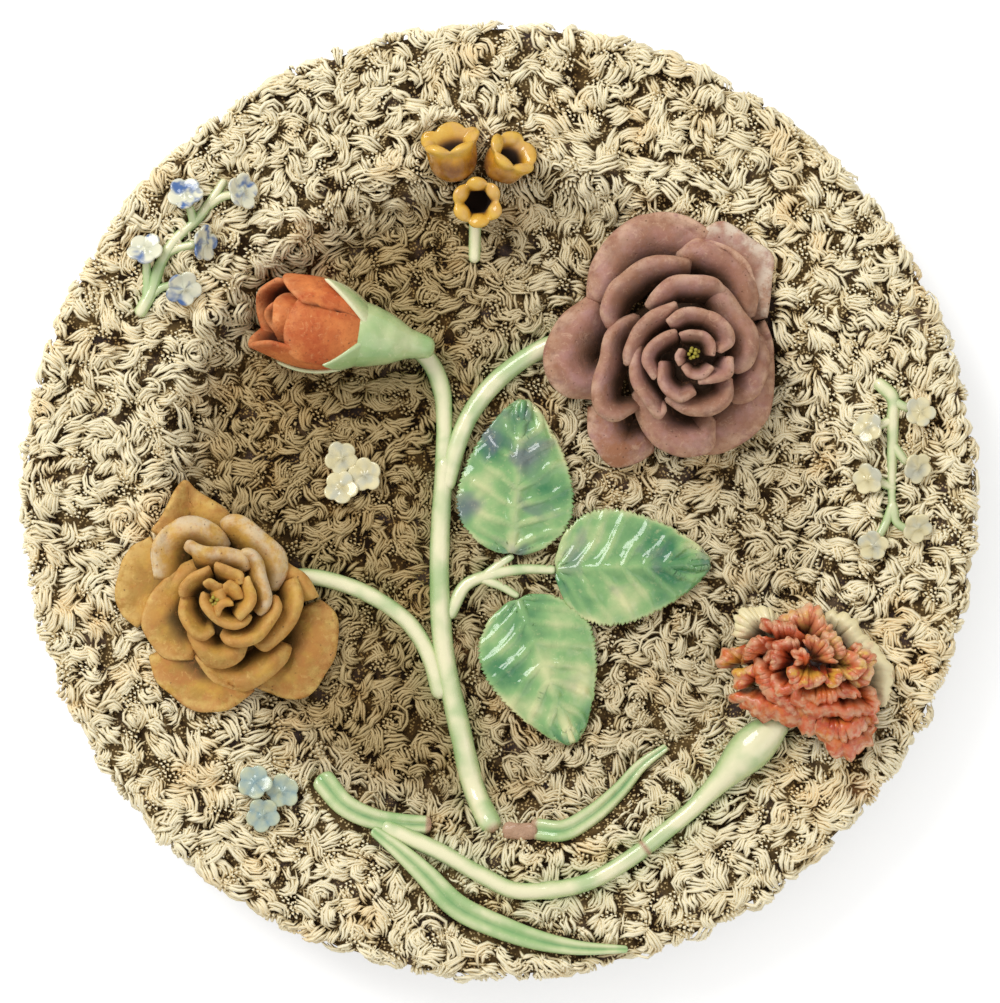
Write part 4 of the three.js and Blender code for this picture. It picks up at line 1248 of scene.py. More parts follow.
@dataclass(frozen=True)
class CarnationFinish:
    """Rust red glaze, yellow stains and a cream ruffle; painted highlight on the frills, painted shade in the gaps.
    """

    name: str = "carnation_glaze"

    def make(self) -> bpy.types.Material:
        """The material; it reads lip (painted highlight), the gaps' painted shade, bloom (cream) and warmth
        (yellow).

        Returns:
            The material.
        """
        s = Shading(self.name)
        cloud = s.noise(11.0, 5.0, 0.6, bend=0.5)
        colour = s.mix(s.between(cloud, 0.36, 0.64), (216, 98, 50), (180, 70, 38))
        streak = s.between(s.noise(2.4, 4.0, 0.65), 0.54, 0.72)
        colour = s.mix(s.times(streak, 0.45), colour, (216, 150, 112))
        gold = s.times(s.value("warmth"), s.between(s.noise(6.0, 5.0, 0.65), 0.45, 0.6))
        colour = s.mix(gold, colour, (222, 170, 62))
        # Painted highlight: the frilled lips turn pale.
        colour = s.mix(s.times(s.value("lip"), s.between(s.noise(4.0, 5.0, 0.6), 0.4, 0.62)), colour,
                       (226, 180, 140))
        cream = s.mix(s.between(cloud, 0.5, 0.75), (242, 228, 180), (228, 186, 150))
        colour = s.mix(s.value("bloom"), colour, cream)
        # Painted shade in the gaps between petals and on the cone inside.
        colour = s.mix(s.value("gap"), colour, (62, 30, 18))
        return s.finish(Base_Color=colour, Roughness=0.34, Coat_Weight=0.2,
                        Normal=s.bump(s.noise(1.1, 4.0, 0.6), 0.14))


CARNATION_PETALS = (
    Petal((736, 636, 738, 622, 749, 610, 769, 608, 780, 614), 29, 10, 4, 6, 7, 4, 0.0, 1.0),
    Petal((828, 614, 842, 613, 856, 622, 864, 636, 878, 645, 886, 660, 890, 680, 889, 694, 884, 706), 29.5, 8, 4,
          6, 6, 4, 0.0, 1.0),
    Petal((735, 694, 741, 706, 753, 715, 774, 720, 797, 728, 816, 737, 830, 751, 844, 757, 864, 753, 872, 743,
          879, 730), 37, 11, 6, 6, 9, 6, 0.2),
    Petal((720, 669, 721, 659, 731, 649, 739, 650, 743, 663), 31, 7, 4, 6, 8, 4, 0.6),
    Petal((737, 691, 736, 680, 742, 670, 750, 669, 757, 677), 35, 8, 5, 6, 9, 4, 1.0),
    Petal((788, 709, 802, 713, 816, 726, 832, 739, 851, 737, 871, 729, 879, 722), 41, 10, 6, 5, 10, 5, 0.3),
    Petal((780, 619, 797, 608, 812, 604, 825, 614, 832, 626, 832, 636), 40, 8, 4, 6, 10, 4, 0.7, 0.15),
    Petal((749, 660, 745, 649, 752, 639, 760, 636, 766, 646, 769, 663), 42, 7, 4, 6, 10, 4, 0.1),
    Petal((760, 657, 756, 674, 766, 694, 780, 706, 798, 718), 41, 8, 5, 5, 10, 5, 0.1),
    Petal((872, 725, 879, 711, 878, 694, 871, 688), 38, 7, 4, 5, 9, 4, 0.2),
    Petal((842, 691, 858, 687, 872, 676, 877, 660, 867, 648, 853, 643), 42, 7, 4, 5, 10, 4, 1.0, 0.1),
    Petal((762, 632, 764, 623, 780, 622, 797, 626, 802, 638), 45, 7, 4, 5, 10, 4, 0.0),
    Petal((771, 674, 773, 685, 781, 694, 791, 695, 801, 705, 816, 712, 832, 715, 851, 715, 877, 713), 45, 8, 5, 5,
          10, 5, 0.1),
    Petal((825, 632, 836, 636, 847, 646, 844, 657), 46, 6, 3, 5, 10, 3, 0.8, 0.2),
    Petal((774, 669, 773, 655, 780, 643, 791, 636, 799, 643), 48.5, 6, 3, 5, 10, 4, 0.0),
    Petal((842, 680, 856, 677, 864, 666, 858, 655, 846, 652), 47, 6, 3, 5, 10, 3, 1.0, 0.1),
    Petal((802, 699, 816, 702, 832, 701, 847, 698, 863, 697), 48, 7, 4, 5, 10, 4, 0.2),
    Petal((805, 646, 811, 638, 823, 639, 833, 650, 835, 663), 50, 5.5, 3, 4, 10, 3, 0.4, 0.1),
    Petal((785, 669, 791, 680, 806, 685, 819, 683, 827, 677), 53, 6, 3, 4, 10, 3, 0.9),
    Petal((797, 666, 795, 655, 802, 649, 809, 656), 53, 4.5, 2.5, 4, 9, 2, 0.1),
    Petal((820, 680, 830, 687, 839, 680, 837, 669), 51.5, 4.5, 2.5, 4, 9, 2, 0.9),
)


# Stems, blades and leaves


@dataclass
class Stems:
    """Rolled stems half sunk in the moss."""

    main: Spots = ((-.022, -.675), (-.05, -.62), (-.085, -.48), (-.118, -.32), (-.128, -.16), (-.124, -.02),
                   (-.117, .08))
    mauve: Spots = ((-.113, .04), (-.094, .11), (-.062, .185), (-.012, .25), (.05, .3), (.12, .335, 2),
                    (.2, .345, 4))
    bud: Spots = ((-.122, .06), (-.118, .17), (-.122, .23), (-.145, .29), (-.19, .335, 2), (-.235, .352, 4))
    ochre: Spots = ((-.128, -.4), (-.15, -.325), (-.19, -.26), (-.25, -.212), (-.32, -.178), (-.41, -.158, 2),
                    (-.5, -.17, 3))
    stalk: Spots = ((-.105, -.235), (-.07, -.175), (-.02, -.155), (.05, -.143), (.11, -.144, 1))
    upper: Spots = ((-.03, -.157), (-.004, -.135), (.023, -.117))
    lower: Spots = ((-.035, -.165), (0, -.178), (.034, -.198))
    carnation: Spots = ((-.235, -.685, -2), (-.12, -.735), (-.04, -.78), (.03, -.812), (.1, -.812), (.18, -.796),
                        (.27, -.747), (.345, -.69), (.4, -.645), (.44, -.605, 1), (.5, -.54, 3), (.57, -.47, 5))

    def rod(self, radius: float, places: Spots, start: float, end: float, bare: tuple[float, ...] = ()) -> Surface:
        """One tapered stem with a knobbly skin; near each share in bare its clay shows.

        Args:
            radius: Its middle radius.
            places: Its route.
            start: Share of the radius at its start.
            end: Share of the radius at its end.
            bare: Shares of its length.

        Returns:
            The stem.
        """
        share = np.linspace(0, 1, 64)
        line = FORM.stem_line(radius, places, 64)
        radii = radius * (start + (end - start) * share)
        radii = 1.1 * radii * (1 + 0.05 * lumps(line, 16.0, 4.0) + 0.03 * lumps(line, 5.0, 8.0))
        body = bar(line, radii, 20, 0.96)
        body.points += 0.14 * lumps(body.points, 3.5)[:, None] * [0, 0, 1]
        shown = np.zeros(len(body.points))
        for place in bare:
            shown = np.maximum(shown, ease((0.022 - np.abs(body.values["along"] - place)) / 0.012))
        return body.valued(bare=shown)

    def flower_stem(self) -> Surface:
        """The carnation's stem: a bell curve of 1.5 swells it into the calyx, with a knot and a crack below.

        Returns:
            The stem with its calyx.
        """
        knot, crack, calyx = 0.385, 0.61, 0.93
        share = np.linspace(0, 1, 110)
        line = FORM.stem_line(3.6, self.carnation, 110)
        swell = 1 + 1.5 * bell(share - calyx, 0.085)
        joint = 1 + 0.1 * bell(share - knot, 0.012) - 0.12 * bell(share - crack, 0.004)
        body = bar(line, 3.6 * swell * joint * (1 + 0.04 * lumps(line, 14.0, 2.0)), 24, 0.96)
        return body.valued(bare=ease((0.006 - np.abs(body.values["along"] - crack)) / 0.004))

    def build(self) -> None:
        """Adds every stem."""
        forks = [self.rod(2.2, self.stalk, 1.25, .8), self.rod(2.2, self.upper, 1, .6),
                 self.rod(2.2, self.lower, .9, .6)]
        for name, body in (("stem_main", self.rod(4.0, self.main, 1.12, 0.9, (0.0,))),
                           ("stem_mauve_rose", self.rod(3.7, self.mauve, 1, .95)),
                           ("stem_rosebud", self.rod(2.9, self.bud, 1, 1.35)),
                           ("stem_ochre_rose", self.rod(3.3, self.ochre, 1, .95)),
                           ("leaf_stalk", joined(forks)), ("carnation_stem", self.flower_stem())):
            add_glazed(name, body, Glaze.STEM)


@dataclass
class Blades:
    """Narrow folded leaf blades, and the bare clay of the break beside the main stem's foot."""

    short: Spots = ((-.37, -.585, 2), (-.325, -.635, 1), (-.262, -.665), (-.2, -.675), (-.155, -.678))
    long: Spots = ((-.262, -.69), (-.21, -.73, 1), (-.16, -.775, 1), (-.09, -.845), (0, -.888), (.08, -.915),
                   (.16, -.93), (.262, -.933))
    right: Spots = ((.075, -.687), (.13, -.69), (.19, -.66), (.25, -.61), (.3, -.555, 1), (.348, -.52, 1))
    scar: Spots = ((.015, -.69), (.045, -.692), (.066, -.69))
    half: float = 5.1

    def blade(self, places: Spots, widths: Callable[[np.ndarray], np.ndarray], bare: float) -> Surface:
        """One blade with a groove along its middle; its clay is bare next to the share `bare`.

        Args:
            places: Its route.
            widths: Share of the half width by share of the length.
            bare: Share of the length, or -1 for none.

        Returns:
            The blade.
        """
        share = np.linspace(0, 1, 56)
        line = FORM.stem_line(self.half * 0.62, places, 56)
        body = bar(line, self.half * widths(share), 24, 0.6, 0.38)
        body.points += 0.18 * lumps(body.points, 4.0)[:, None] * [0, 0, 1]
        return body.valued(bare=ease((0.07 - np.abs(body.values["along"] - bare)) / 0.03))

    def build(self) -> None:
        """Adds the blades and the scar."""
        for name, places, bare, widths in (
                ("blade_short", self.short, 1.0, lambda s: 1 - 0.23 * s),
                ("blade_long", self.long, -1.0, lambda s: .2 + np.sin(np.pi * (.87 * s + .08)) * (1 - .35 * s)),
                ("blade_right", self.right, 0.0, lambda s: .9 - .56 * s * s)):
            add_glazed(name, self.blade(places, widths, bare), Glaze.STEM)
        scar = bar(FORM.stem_line(3.6, self.scar, 24), np.full(24, 3.6), 20, 0.6)
        scar.points += 0.5 * lumps(scar.points, 2.2)[:, None]
        add_glazed("break_scar", scar.valued(bare=1.0), Glaze.SCAR)


@dataclass
class Leaf:
    """A rose leaf pressed in a mould: saw-toothed, with raised veins and quilted between them."""

    name: str
    end: tuple[float, float]
    heading: float
    lift: float = 0.0
    seed: float = 0.0
    fresh: float = 0.0
    length: float = 65.0
    width: float = 51.0
    thickness: float = 2.6
    teeth: int = 38
    tooth: float = 1.9
    veins: int = 7
    dome: float = 3.4
    quilting: float = 1.5
    clearance: float = 0.2

    def build(self) -> None:
        """Adds the leaf.

        Its half width is half the width times sin(pi s^0.78)^0.62 times (1 - 0.1 s). The side veins run from
        the midrib outwards and forwards, and the blade is domed between them.
        """
        s = np.linspace(0.0, 1.0, 102)[:, None]
        t = np.concatenate([-1 + np.array([0, .012, .03, .055]), np.linspace(-.92, .92, 45),
                            1 - np.array([.055, .03, .012, 0])])
        away = np.abs(t)
        outline = np.maximum(0.02, np.sin(np.pi * s ** 0.78) ** 0.62) * (1 - 0.1 * s)
        saw = (s * self.teeth + 0.35 * away) % 1.0
        cut = self.tooth * (0.5 - saw) * ease((away - 0.9) / 0.1) * np.minimum(1, 4 * s * (1.05 - s) * 3)
        across = t * (0.5 * self.width * outline) + np.sign(t) * cut
        forward = self.length * (s - 0.055 * away ** 2 * np.sin(np.pi * s)) + 0 * t
        ground = np.dstack([s * 65 + 0 * t, t * 25 + 0 * s, 0 * s * t + self.seed])
        order = (s - 0.24 * away) * self.veins + 0.22 * lumps(ground, 14.0, self.seed)
        near = np.abs(order - np.round(order)) / self.veins * self.length
        alive = ease((1.0 - away) * 5) * (np.round(order) > 0)
        strong = 0.62 + 0.38 * lumps(ground, 9.0, self.seed + 7)
        side_vein = bell(near, 0.62) * alive * (1 - 0.5 * away) * strong
        midrib = bell(across, 0.8) * (1 - 0.6 * s) * strong
        vein = np.maximum(midrib, side_vein)
        puff = np.abs(np.sin(np.pi * order)) ** 0.7 * ease(away * 5) * (1 - 0.5 * away)
        dome = self.dome * np.sin(np.pi * s) ** 0.7 * (1 - 0.75 * away ** 2)
        height = (1.5 + dome - self.quilting * puff + vein + 0.8 * lumps(ground, 12.0, self.seed + 2)
                  + 0.35 * lumps(ground, 4.0, self.seed + 5))
        turn = np.radians(self.heading)
        foot = FORM.spot(*self.end)
        x = foot[0] + forward * np.cos(turn) - across * np.sin(turn)
        y = foot[1] + forward * np.sin(turn) + across * np.cos(turn)
        middle = np.stack([x, y, height + FORM.seat + WELL_TOP + self.lift + self.clearance], -1)
        edge = np.minimum((1 - away) * 0.5 * self.width * outline, self.length * (1 - s))
        half = 0.5 * self.thickness * rounded(np.minimum(edge, self.length * s), 1.0)
        crest = (0.42 + 0.16 * vein - 0.18 * puff * (1 - vein) + 0.5 * lumps(ground, 15.0, self.seed + 1)
                 + 0.25 * ease(6 * away - 5))
        add_glazed(self.name, pillow(middle, half, crest=crest).valued(fresh=self.fresh), Glaze.LEAF)


# Small flowers


@dataclass(frozen=True)
class Blossom:
    """A small flower of round lobes: its place as shares of the plate's radius, and where it faces."""

    name: str
    place: tuple[float, float]
    lift: float
    azimuth: float
    elevation: float
    radius: float
    glaze: Glaze
    lobes: int = 5

    def build(self) -> None:
        """Adds the flower.

        A shallow dish with a lobed edge: the radius is 0.8 + 0.26 |cos(lobes a / 2)|^0.6 of the whole, its
        height rises with the square of the share outwards, a crease parts the lobes, and a button stands in
        the middle.
        """
        rows = axes(self.azimuth, self.elevation, 0.02)
        angle = full_turn(50)
        wave = np.abs(np.cos(self.lobes * angle / 2 + self.azimuth)) ** 0.6
        edge = self.radius * (0.8 + 0.26 * wave + 0.03 * np.sin(3 * angle + self.place[0] * 40))
        share = np.array([0.02, .12, .22, .32, .45, .6, .75, .88, .96, 1.0, .97, .85, .6, .3, .02])[:, None]
        ring = np.arange(len(share))[:, None]
        top = ring < 10
        cup = 0.2 * self.radius * share ** 2 - 0.14 * self.radius * (1 - wave) * share * top
        button = 0.16 * self.radius * bell(share, 0.22)
        height = np.where(top, cup + button + 0.5 * rounded((1 - share) * self.radius, 1.2), cup - 1.0)
        height = height - 0.35 * (ring == 9)
        grid = FORM.spot(*self.place, self.lift) + (height + 0 * angle)[..., None] * rows[0]
        grid = grid + (share * edge)[..., None] * around(angle, rows)
        body = ringed(grid, crest=np.where(top, 0.35 + 0.65 * wave * share, 0.2) + 0 * angle)
        body.points[:, 2] = np.maximum(body.points[:, 2], FORM.under(body.points) + 0.3)
        add_glazed(self.name, body, self.glaze)


@dataclass
class Sprays:
    """Every small flower on the moss and the branched stems of the two sprigs."""

    left: Spots = ((-.655, .64, 100, 62), (-.538, .646, 10, 48), (-.738, .524, 100, 58), (-.618, .538, 355, 34),
                   (-.66, .445, 300, 62))
    right: Spots = ((.768, .154, 160, 66), (.874, .186, 60, 74), (.768, .047, 200, 68), (.868, .071, 330, 62),
                    (.778, -.091, 240, 72), (.868, -.054, 310, 64))
    left_stems: tuple[Spots, ...] = (
        ((-.75, .398), (-.73, .434), (-.71, .493), (-.678, .547), (-.633, .588), (-.606, .624), (-.578, .666)),
        ((-.737, .43), (-.737, .47), (-.737, .5, 2)), ((-.73, .43), (-.71, .445), (-.685, .452, 2)),
        ((-.705, .515), (-.67, .53), (-.642, .536, 2)), ((-.64, .585), (-.646, .61, 2)),
        ((-.606, .62), (-.58, .636), (-.56, .64, 2)))
    right_stems: tuple[Spots, ...] = (
        ((.794, .244), (.818, .22), (.82, .167), (.819, .074), (.818, .02), (.82, -.014)),
        ((.82, -.008), (.806, -.045), (.79, -.075, 1)), ((.82, -.008), (.83, -.045), (.855, -.06, 1)),
        ((.819, .17), (.79, .158, 1)), ((.82, .21), (.85, .195, 1)), ((.818, .03), (.785, .045, 1)),
        ((.819, .12), (.845, .085, 1)))
    white: Spots = ((-.336, .029), (-.284, .057), (-.336, .092))
    blue: Spots = ((-.512, -.586), (-.453, -.604), (-.496, -.654))
    stem_radius: float = 2.1

    def branches(self, routes: tuple[Spots, ...]) -> Surface:
        """The joined branches of a sprig, thinner towards their tips.

        Args:
            routes: The main branch, then the side branches.

        Returns:
            One body.
        """
        bodies = []
        for k, route in enumerate(routes):
            line = FORM.stem_line(self.stem_radius, route, 26)
            radii = self.stem_radius * np.linspace(1.35 if k == 0 else 1.0, 0.8, 26)
            bodies.append(bar(line, radii * (1 + 0.1 * lumps(line, 5.0)), 12))
        return joined(bodies)

    def build(self) -> None:
        """Adds the flowers and the sprigs' stems."""
        add_glazed("sprig_left_stem", self.branches(self.left_stems), Glaze.STEM)
        add_glazed("sprig_right_stem", self.branches(self.right_stems), Glaze.STEM)
        for name, flowers, radius, glaze in (("sprig_left", self.left, 7.4, Glaze.BLUE_WHITE),
                                             ("sprig_right", self.right, 6.3, Glaze.CREAM)):
            for k, (x, y, azimuth, elevation) in enumerate(flowers):
                Blossom(f"{name}_flower_{k + 1}", (x, y), 4.5, azimuth, elevation, radius, glaze).build()
        for name, places, glaze in (("white", self.white, Glaze.CREAM), ("blue", self.blue, Glaze.BLUE)):
            for k, place in enumerate(places):
                Blossom(f"{name}_flower_{k + 1}", place, 3.2 - 0.9 * k, 80 + 130 * k, 76, 7.0, glaze).build()


@dataclass(frozen=True)
class Cup:
    """A yellow cup blossom: a tube that opens into rolled lobes."""

    name: str
    place: tuple[float, float]
    lift: float
    azimuth: float
    elevation: float
    size: float
    lobes: int = 5
    radius: float = 10.0
    tall: float = 17.0
    rings: int = 44
    lip_ring: int = 20
    inner_ring: int = 28
    wall_gap: float = 1.4

    def build(self) -> None:
        """Adds the cup: an outer wall up to the rolled lip, and an inner wall down to its floor.

        Both walls are its profile carried round its axis and widened by the lobes; where the moss is higher
        they rest on it, with the inner one wall_gap over the outer. The inner wall is painted dark down to the
        floor as shade.
        """
        rows = axes(self.azimuth, self.elevation)
        profile = smooth_line(np.array([
            [.05, 0.02], [.45, .02], [.72, .22], [.8, .5], [.84, .8], [.96, .97], [1.0, 1.03], [.9, 1.06],
            [.68, .98], [.52, .78], [.46, .5], [.4, .3], [.04, .26]]), np.linspace(0, 1, self.rings))
        ring = np.arange(self.rings)[:, None]
        angle = full_turn(56)
        flare = ease((profile[:, 1] - 0.45) * 1.8)[:, None]
        wave = np.abs(np.sin(self.lobes * angle / 2 + self.azimuth)) ** 0.55
        rolled = ease((ring - self.lip_ring) / 9)
        lobe = (0.32 * wave - 0.22) * (1 - rolled) + (0.06 - 0.3 * wave) * rolled
        radius = self.radius * self.size * profile[:, :1] * (1 + flare * lobe)
        height = self.tall * self.size * profile[:, 1:] * (1 + 0.13 * flare * (wave - 0.5))
        grid = FORM.spot(*self.place, self.lift) + height[..., None] * rows[0]
        grid = grid + radius[..., None] * around(angle, rows)
        grid = grid + 0.9 * lumps(grid, 7.0)[..., None] * rows[0] + 0.6 * lumps(grid, 5.0, 3.0)[..., None] * rows[1]
        # Painted shade: the inner wall darkens down to the floor of the cup.
        inner = ease((ring - self.inner_ring) / 5)
        grid[..., 2] = np.maximum(grid[..., 2], FORM.under(grid) + 0.2 + self.wall_gap * rolled)
        body = ringed(grid, crest=flare * 0.75 * (1 - inner) + 0 * angle, gap=inner + 0 * angle)
        add_glazed(self.name, body, Glaze.YELLOW)


@dataclass
class YellowCluster:
    """Three yellow cups on one short stem."""

    radius: float = 2.6

    def build(self) -> None:
        """Adds the cups and their stem."""
        Cup("yellow_blossom_left", FORM.slope_spot(.6, 97.6), 1, 100, 30, 1.16, 5, 10.8, 14.5).build()
        Cup("yellow_blossom_right", FORM.slope_spot(.6, 90.6), 1, 48, 46, 1.02, 5, 10.4, 15.0).build()
        Cup("yellow_blossom_front", FORM.slope_spot(.2, 94.2), .55, 270, 84, 1.04, 6).build()
        route = (FORM.slope_spot(-.7, 96), FORM.slope_spot(-.36, 95.4), (*FORM.slope_spot(.1, 94.8), 1))
        body = bar(FORM.stem_line(self.radius, route, 30), np.full(30, self.radius), 20)
        add_glazed("yellow_blossom_stem", body, Glaze.STEM)


# Moss and dish


@dataclass
class Strands:
    """Many strands at once, on the moss's unrolled face.

    plan: places as unrolled x and y, shape (strands, rings, 2); height: over the moss's face; width: half
    width of each ring; shade: one draw for each strand.
    """

    plan: np.ndarray
    height: np.ndarray
    width: np.ndarray
    shade: np.ndarray

    def picked(self, kept: np.ndarray) -> "Strands":
        """Some of the strands."""
        return Strands(self.plan[kept], self.height[kept], self.width[kept], self.shade[kept])


@dataclass
class Moss:
    """Clay pressed through a sieve: locks of fine parallel strands over a dark rough bed."""

    wrap: float = 5.2
    spacing: float = 7.3
    strands: int = 8
    pitch: float = 0.98
    half_width: float = 0.78
    lengths: tuple[float, float] = (6.2, 12.5)
    curls: tuple[float, float] = (0.14, 0.3)
    fans: tuple[float, float] = (-1.1, 1.1)
    lifts: tuple[float, float] = (-1.7, 1.0)
    arches: tuple[float, float] = (0.9, 2.7)
    tuft_strands: int = 13
    press_gap: float = 1.8
    press_limit: float = -3.2
    cell: float = 0.5
    buried: float = -0.02
    reach: float = 207.0
    seed: int = 11
    covered: Spots = ((80.0, 62.5, 40.0), (-117.0, -41.5, 35.0))
    rusts: Spots = ((-67.0, 15.0, 6.0), (-75.0, 98.0, 5.0), (150.0, -120.0, 5.0), (-20.0, -60.0, 5.0))

    def lay(self, plan: np.ndarray, height: np.ndarray) -> tuple[np.ndarray, np.ndarray]:
        """Lays unrolled places on the moss's face.

        Inside the dish's rim they keep their radius; past it they go round a quarter circle and then down.

        Args:
            plan: Unrolled places, shape (..., 2).
            height: Heights over the face.

        Returns:
            Their places in space and the face's normals there.
        """
        far = np.maximum(np.linalg.norm(plan, axis=-1), 1e-6)
        way = plan / far[..., None]
        slope = FORM.moss_top(far + 0.5) - FORM.moss_top(far - 0.5)
        turn = np.clip((far - FORM.rim_radius) / self.wrap, 0.0, np.pi / 2)
        down = np.maximum(far - FORM.rim_radius - self.wrap * np.pi / 2, 0.0)
        lean = np.where(far > FORM.rim_radius, turn, -np.arctan(slope))
        radius = np.minimum(far, FORM.rim_radius) + self.wrap * np.sin(turn)
        level = FORM.moss_top(far) - self.wrap * (1 - np.cos(turn)) - down
        normal = np.concatenate([way * np.sin(lean)[..., None], np.cos(lean)[..., None]], axis=-1)
        face = np.concatenate([way * radius[..., None], level[..., None]], axis=-1)
        return face + normal * height[..., None], normal

    def hidden(self, middle: np.ndarray) -> np.ndarray:
        """Which places are well under a rose.

        Args:
            middle: Unrolled places, shape (n, 2).

        Returns:
            True where a place is hidden.
        """
        covered = np.zeros(len(middle), bool)
        for x, y, radius in self.covered:
            covered |= np.hypot(middle[:, 0] - x, middle[:, 1] - y) < radius
        return covered

    def middles(self, draw: np.random.Generator, spacing: float) -> np.ndarray:
        """Jittered places on a grid of triangles over the unrolled face.

        Args:
            draw: Draws the jitter.
            spacing: Distance between neighbours.

        Returns:
            Places, shape (n, 2).
        """
        count = int(2 * self.reach / spacing) + 2
        i, j = np.meshgrid(np.arange(count), np.arange(int(count * 1.16)))
        x = (i + 0.5 * (j % 2)) * spacing - self.reach
        y = j * spacing * 0.866 - self.reach
        middle = np.stack([x.ravel(), y.ravel()], -1) + draw.uniform(-0.42, 0.42, (x.size, 2)) * spacing
        return middle[(np.hypot(middle[:, 0], middle[:, 1]) < self.reach - 3.5) & ~self.hidden(middle)]

    def combed(self, draw: np.random.Generator) -> Strands:
        """Locks of strands side by side.

        A lock starts at its middle with a direction, bends steadily along its length and fans out across it.
        Its height is an arch along it plus a lower arch across it, so its ends sink under its neighbours.

        Args:
            draw: Draws every lock and strand.

        Returns:
            The strands.
        """
        middle = self.middles(draw, self.spacing)
        locks, rings, n = len(middle), 5, self.strands
        each, strand = (locks, 1, 1), (locks, n, 1)
        heading = 3.2 * lumps(np.column_stack([middle, np.zeros(locks)]), 34.0, 5.0).reshape(each)
        heading = heading + draw.uniform(-2.4, 2.4, each)
        length = draw.uniform(*self.lengths, each)
        in_well = np.hypot(middle[:, 0], middle[:, 1]).reshape(each) < FORM.well_radius + 8
        curl = draw.random(each) < np.where(in_well, 0.5, 0.38)
        bend = np.where(curl, draw.uniform(*self.curls, each), draw.uniform(0, 0.1, each))
        bend = bend * draw.choice([-1.0, 1.0], each)
        fan = draw.uniform(*self.fans, each)
        lift = draw.uniform(*self.lifts, each)
        crest = draw.uniform(*self.arches, each)
        share = np.linspace(-0.5, 0.5, rings)
        across = ((np.arange(n) - (n - 1) / 2) * self.pitch)[:, None]
        part = np.linspace(-1, 1, n)[:, None]
        along = share * length * (1 + 0.12 * draw.uniform(-1, 1, strand)) + draw.uniform(-1.8, 1.8, strand)
        turn = heading + bend * along
        wave = 0.35 * np.sin(0.9 * along + draw.uniform(0, 6, each))
        offset = across * (1 + fan * share) + wave
        offset = offset + draw.uniform(-0.4, 0.4, (locks, n, rings)) + draw.uniform(-0.3, 0.3, strand)
        safe = np.where(np.abs(bend) < 1e-3, 1e-3, bend)
        x = (np.sin(turn) - np.sin(heading)) / safe - offset * np.sin(turn)
        y = (np.cos(heading) - np.cos(turn)) / safe + offset * np.cos(turn)
        plan = middle[:, None, None] + np.stack([x, y], -1)
        height = lift + crest * (1 - (2 * share) ** 2) - 1.3
        height = height + 0.9 * (1 - part ** 2) + draw.uniform(-0.7, 0.5, strand)
        height = height + draw.uniform(-0.9, 0.9, each) * part + draw.uniform(-1.3, 1.3, each) * share
        width = self.half_width * np.array([0.4, 0.95, 1.0, 0.95, 0.4]) * draw.uniform(0.75, 1.25, strand)
        kept = draw.random((locks, n)) > 0.75 * np.abs(part.ravel()) ** 3
        shade = 0.5 * np.repeat(draw.random(locks), n) + 0.5 * draw.random(locks * n)
        return Strands(plan.reshape(-1, rings, 2), height.reshape(-1, rings), width.reshape(-1, rings),
                       shade).picked(kept.ravel())

    def tufts(self, draw: np.random.Generator) -> Strands:
        """Bunches of short strands on end, which show as dots.

        Args:
            draw: Draws every bunch and strand.

        Returns:
            The strands.
        """
        middle = self.middles(draw, self.spacing * 1.75)
        bunches, rings, n = len(middle), 3, self.tuft_strands
        ring_out = 0.82 * np.sqrt(np.arange(n))
        swing = 2.4 * np.arange(n)
        foot = np.stack([ring_out * np.cos(swing), ring_out * np.sin(swing)], -1)
        lean = draw.uniform(-0.9, 0.9, (bunches, 1, 1, 2))
        rise = np.array([0.0, 0.6, 1.0])
        spread = 1 + 0.35 * rise
        plan = middle[:, None, None] + foot[:, None] * spread[:, None] + lean * rise[:, None]
        top = 1.7 - 0.12 * ring_out ** 2 + draw.uniform(-0.3, 0.3, (bunches, n))
        height = -2.6 + (top + 2.6)[..., None] * rise
        width = self.half_width * np.array([1.0, 1.0, 0.75]) * np.ones((bunches, n, 1))
        return Strands(plan.reshape(-1, rings, 2), height.reshape(-1, rings), width.reshape(-1, rings),
                       draw.random(bunches * n))

    def cells(self, plan: np.ndarray, size: float) -> tuple[np.ndarray, np.ndarray]:
        """Numbers of a map's square cells of a size under unrolled places."""
        at = np.clip(((plan + self.reach) / size).astype(int), 0, int(2 * self.reach / size) - 1)
        return at[..., 0], at[..., 1]

    def ceiling(self) -> np.ndarray:
        """A map of how far the pieces that stand on the moss are over its face, in 1 mm cells.

        Each cell has the lowest of the pieces' points in it and in the cells within 2 mm.

        Returns:
            The map, with 99 where nothing stands.
        """
        points = np.concatenate(STANDING)
        size = int(2 * self.reach)
        low = np.full((size, size), 99.0)
        np.minimum.at(low, self.cells(points[:, :2], 1.0), points[:, 2] - FORM.under(points))
        for axis in (0, 1):
            low = np.min([np.roll(low, k, axis) for k in (-2, -1, 0, 1, 2)], axis=0)
        return low

    def pressed(self, strands: Strands, low: np.ndarray) -> Strands:
        """The strands pressed down under the pieces on them."""
        limit = np.maximum(low[self.cells(strands.plan, 1.0)] - self.press_gap, self.press_limit)
        return Strands(strands.plan, np.minimum(strands.height, limit), strands.width, strands.shade)

    def crevices(self, groups: list[Strands]) -> np.ndarray:
        """A map of how high the strands lie round each place: the highest in each cell, then blurred.

        Args:
            groups: All strands.

        Returns:
            The map, in cells of the moss's cell size.
        """
        size = int(2 * self.reach / self.cell)
        heights = np.full((size, size), -2.0)
        for group in groups:
            fine = np.concatenate([group.plan, 0.5 * (group.plan[:, 1:] + group.plan[:, :-1])], axis=1)
            tall = np.concatenate([group.height, 0.5 * (group.height[:, 1:] + group.height[:, :-1])], axis=1)
            np.maximum.at(heights, self.cells(fine, self.cell), tall)
        for axis in (0, 1):
            for _ in range(2):
                heights = sum(np.roll(heights, k, axis) for k in range(-4, 5)) / 9.0
        return heights

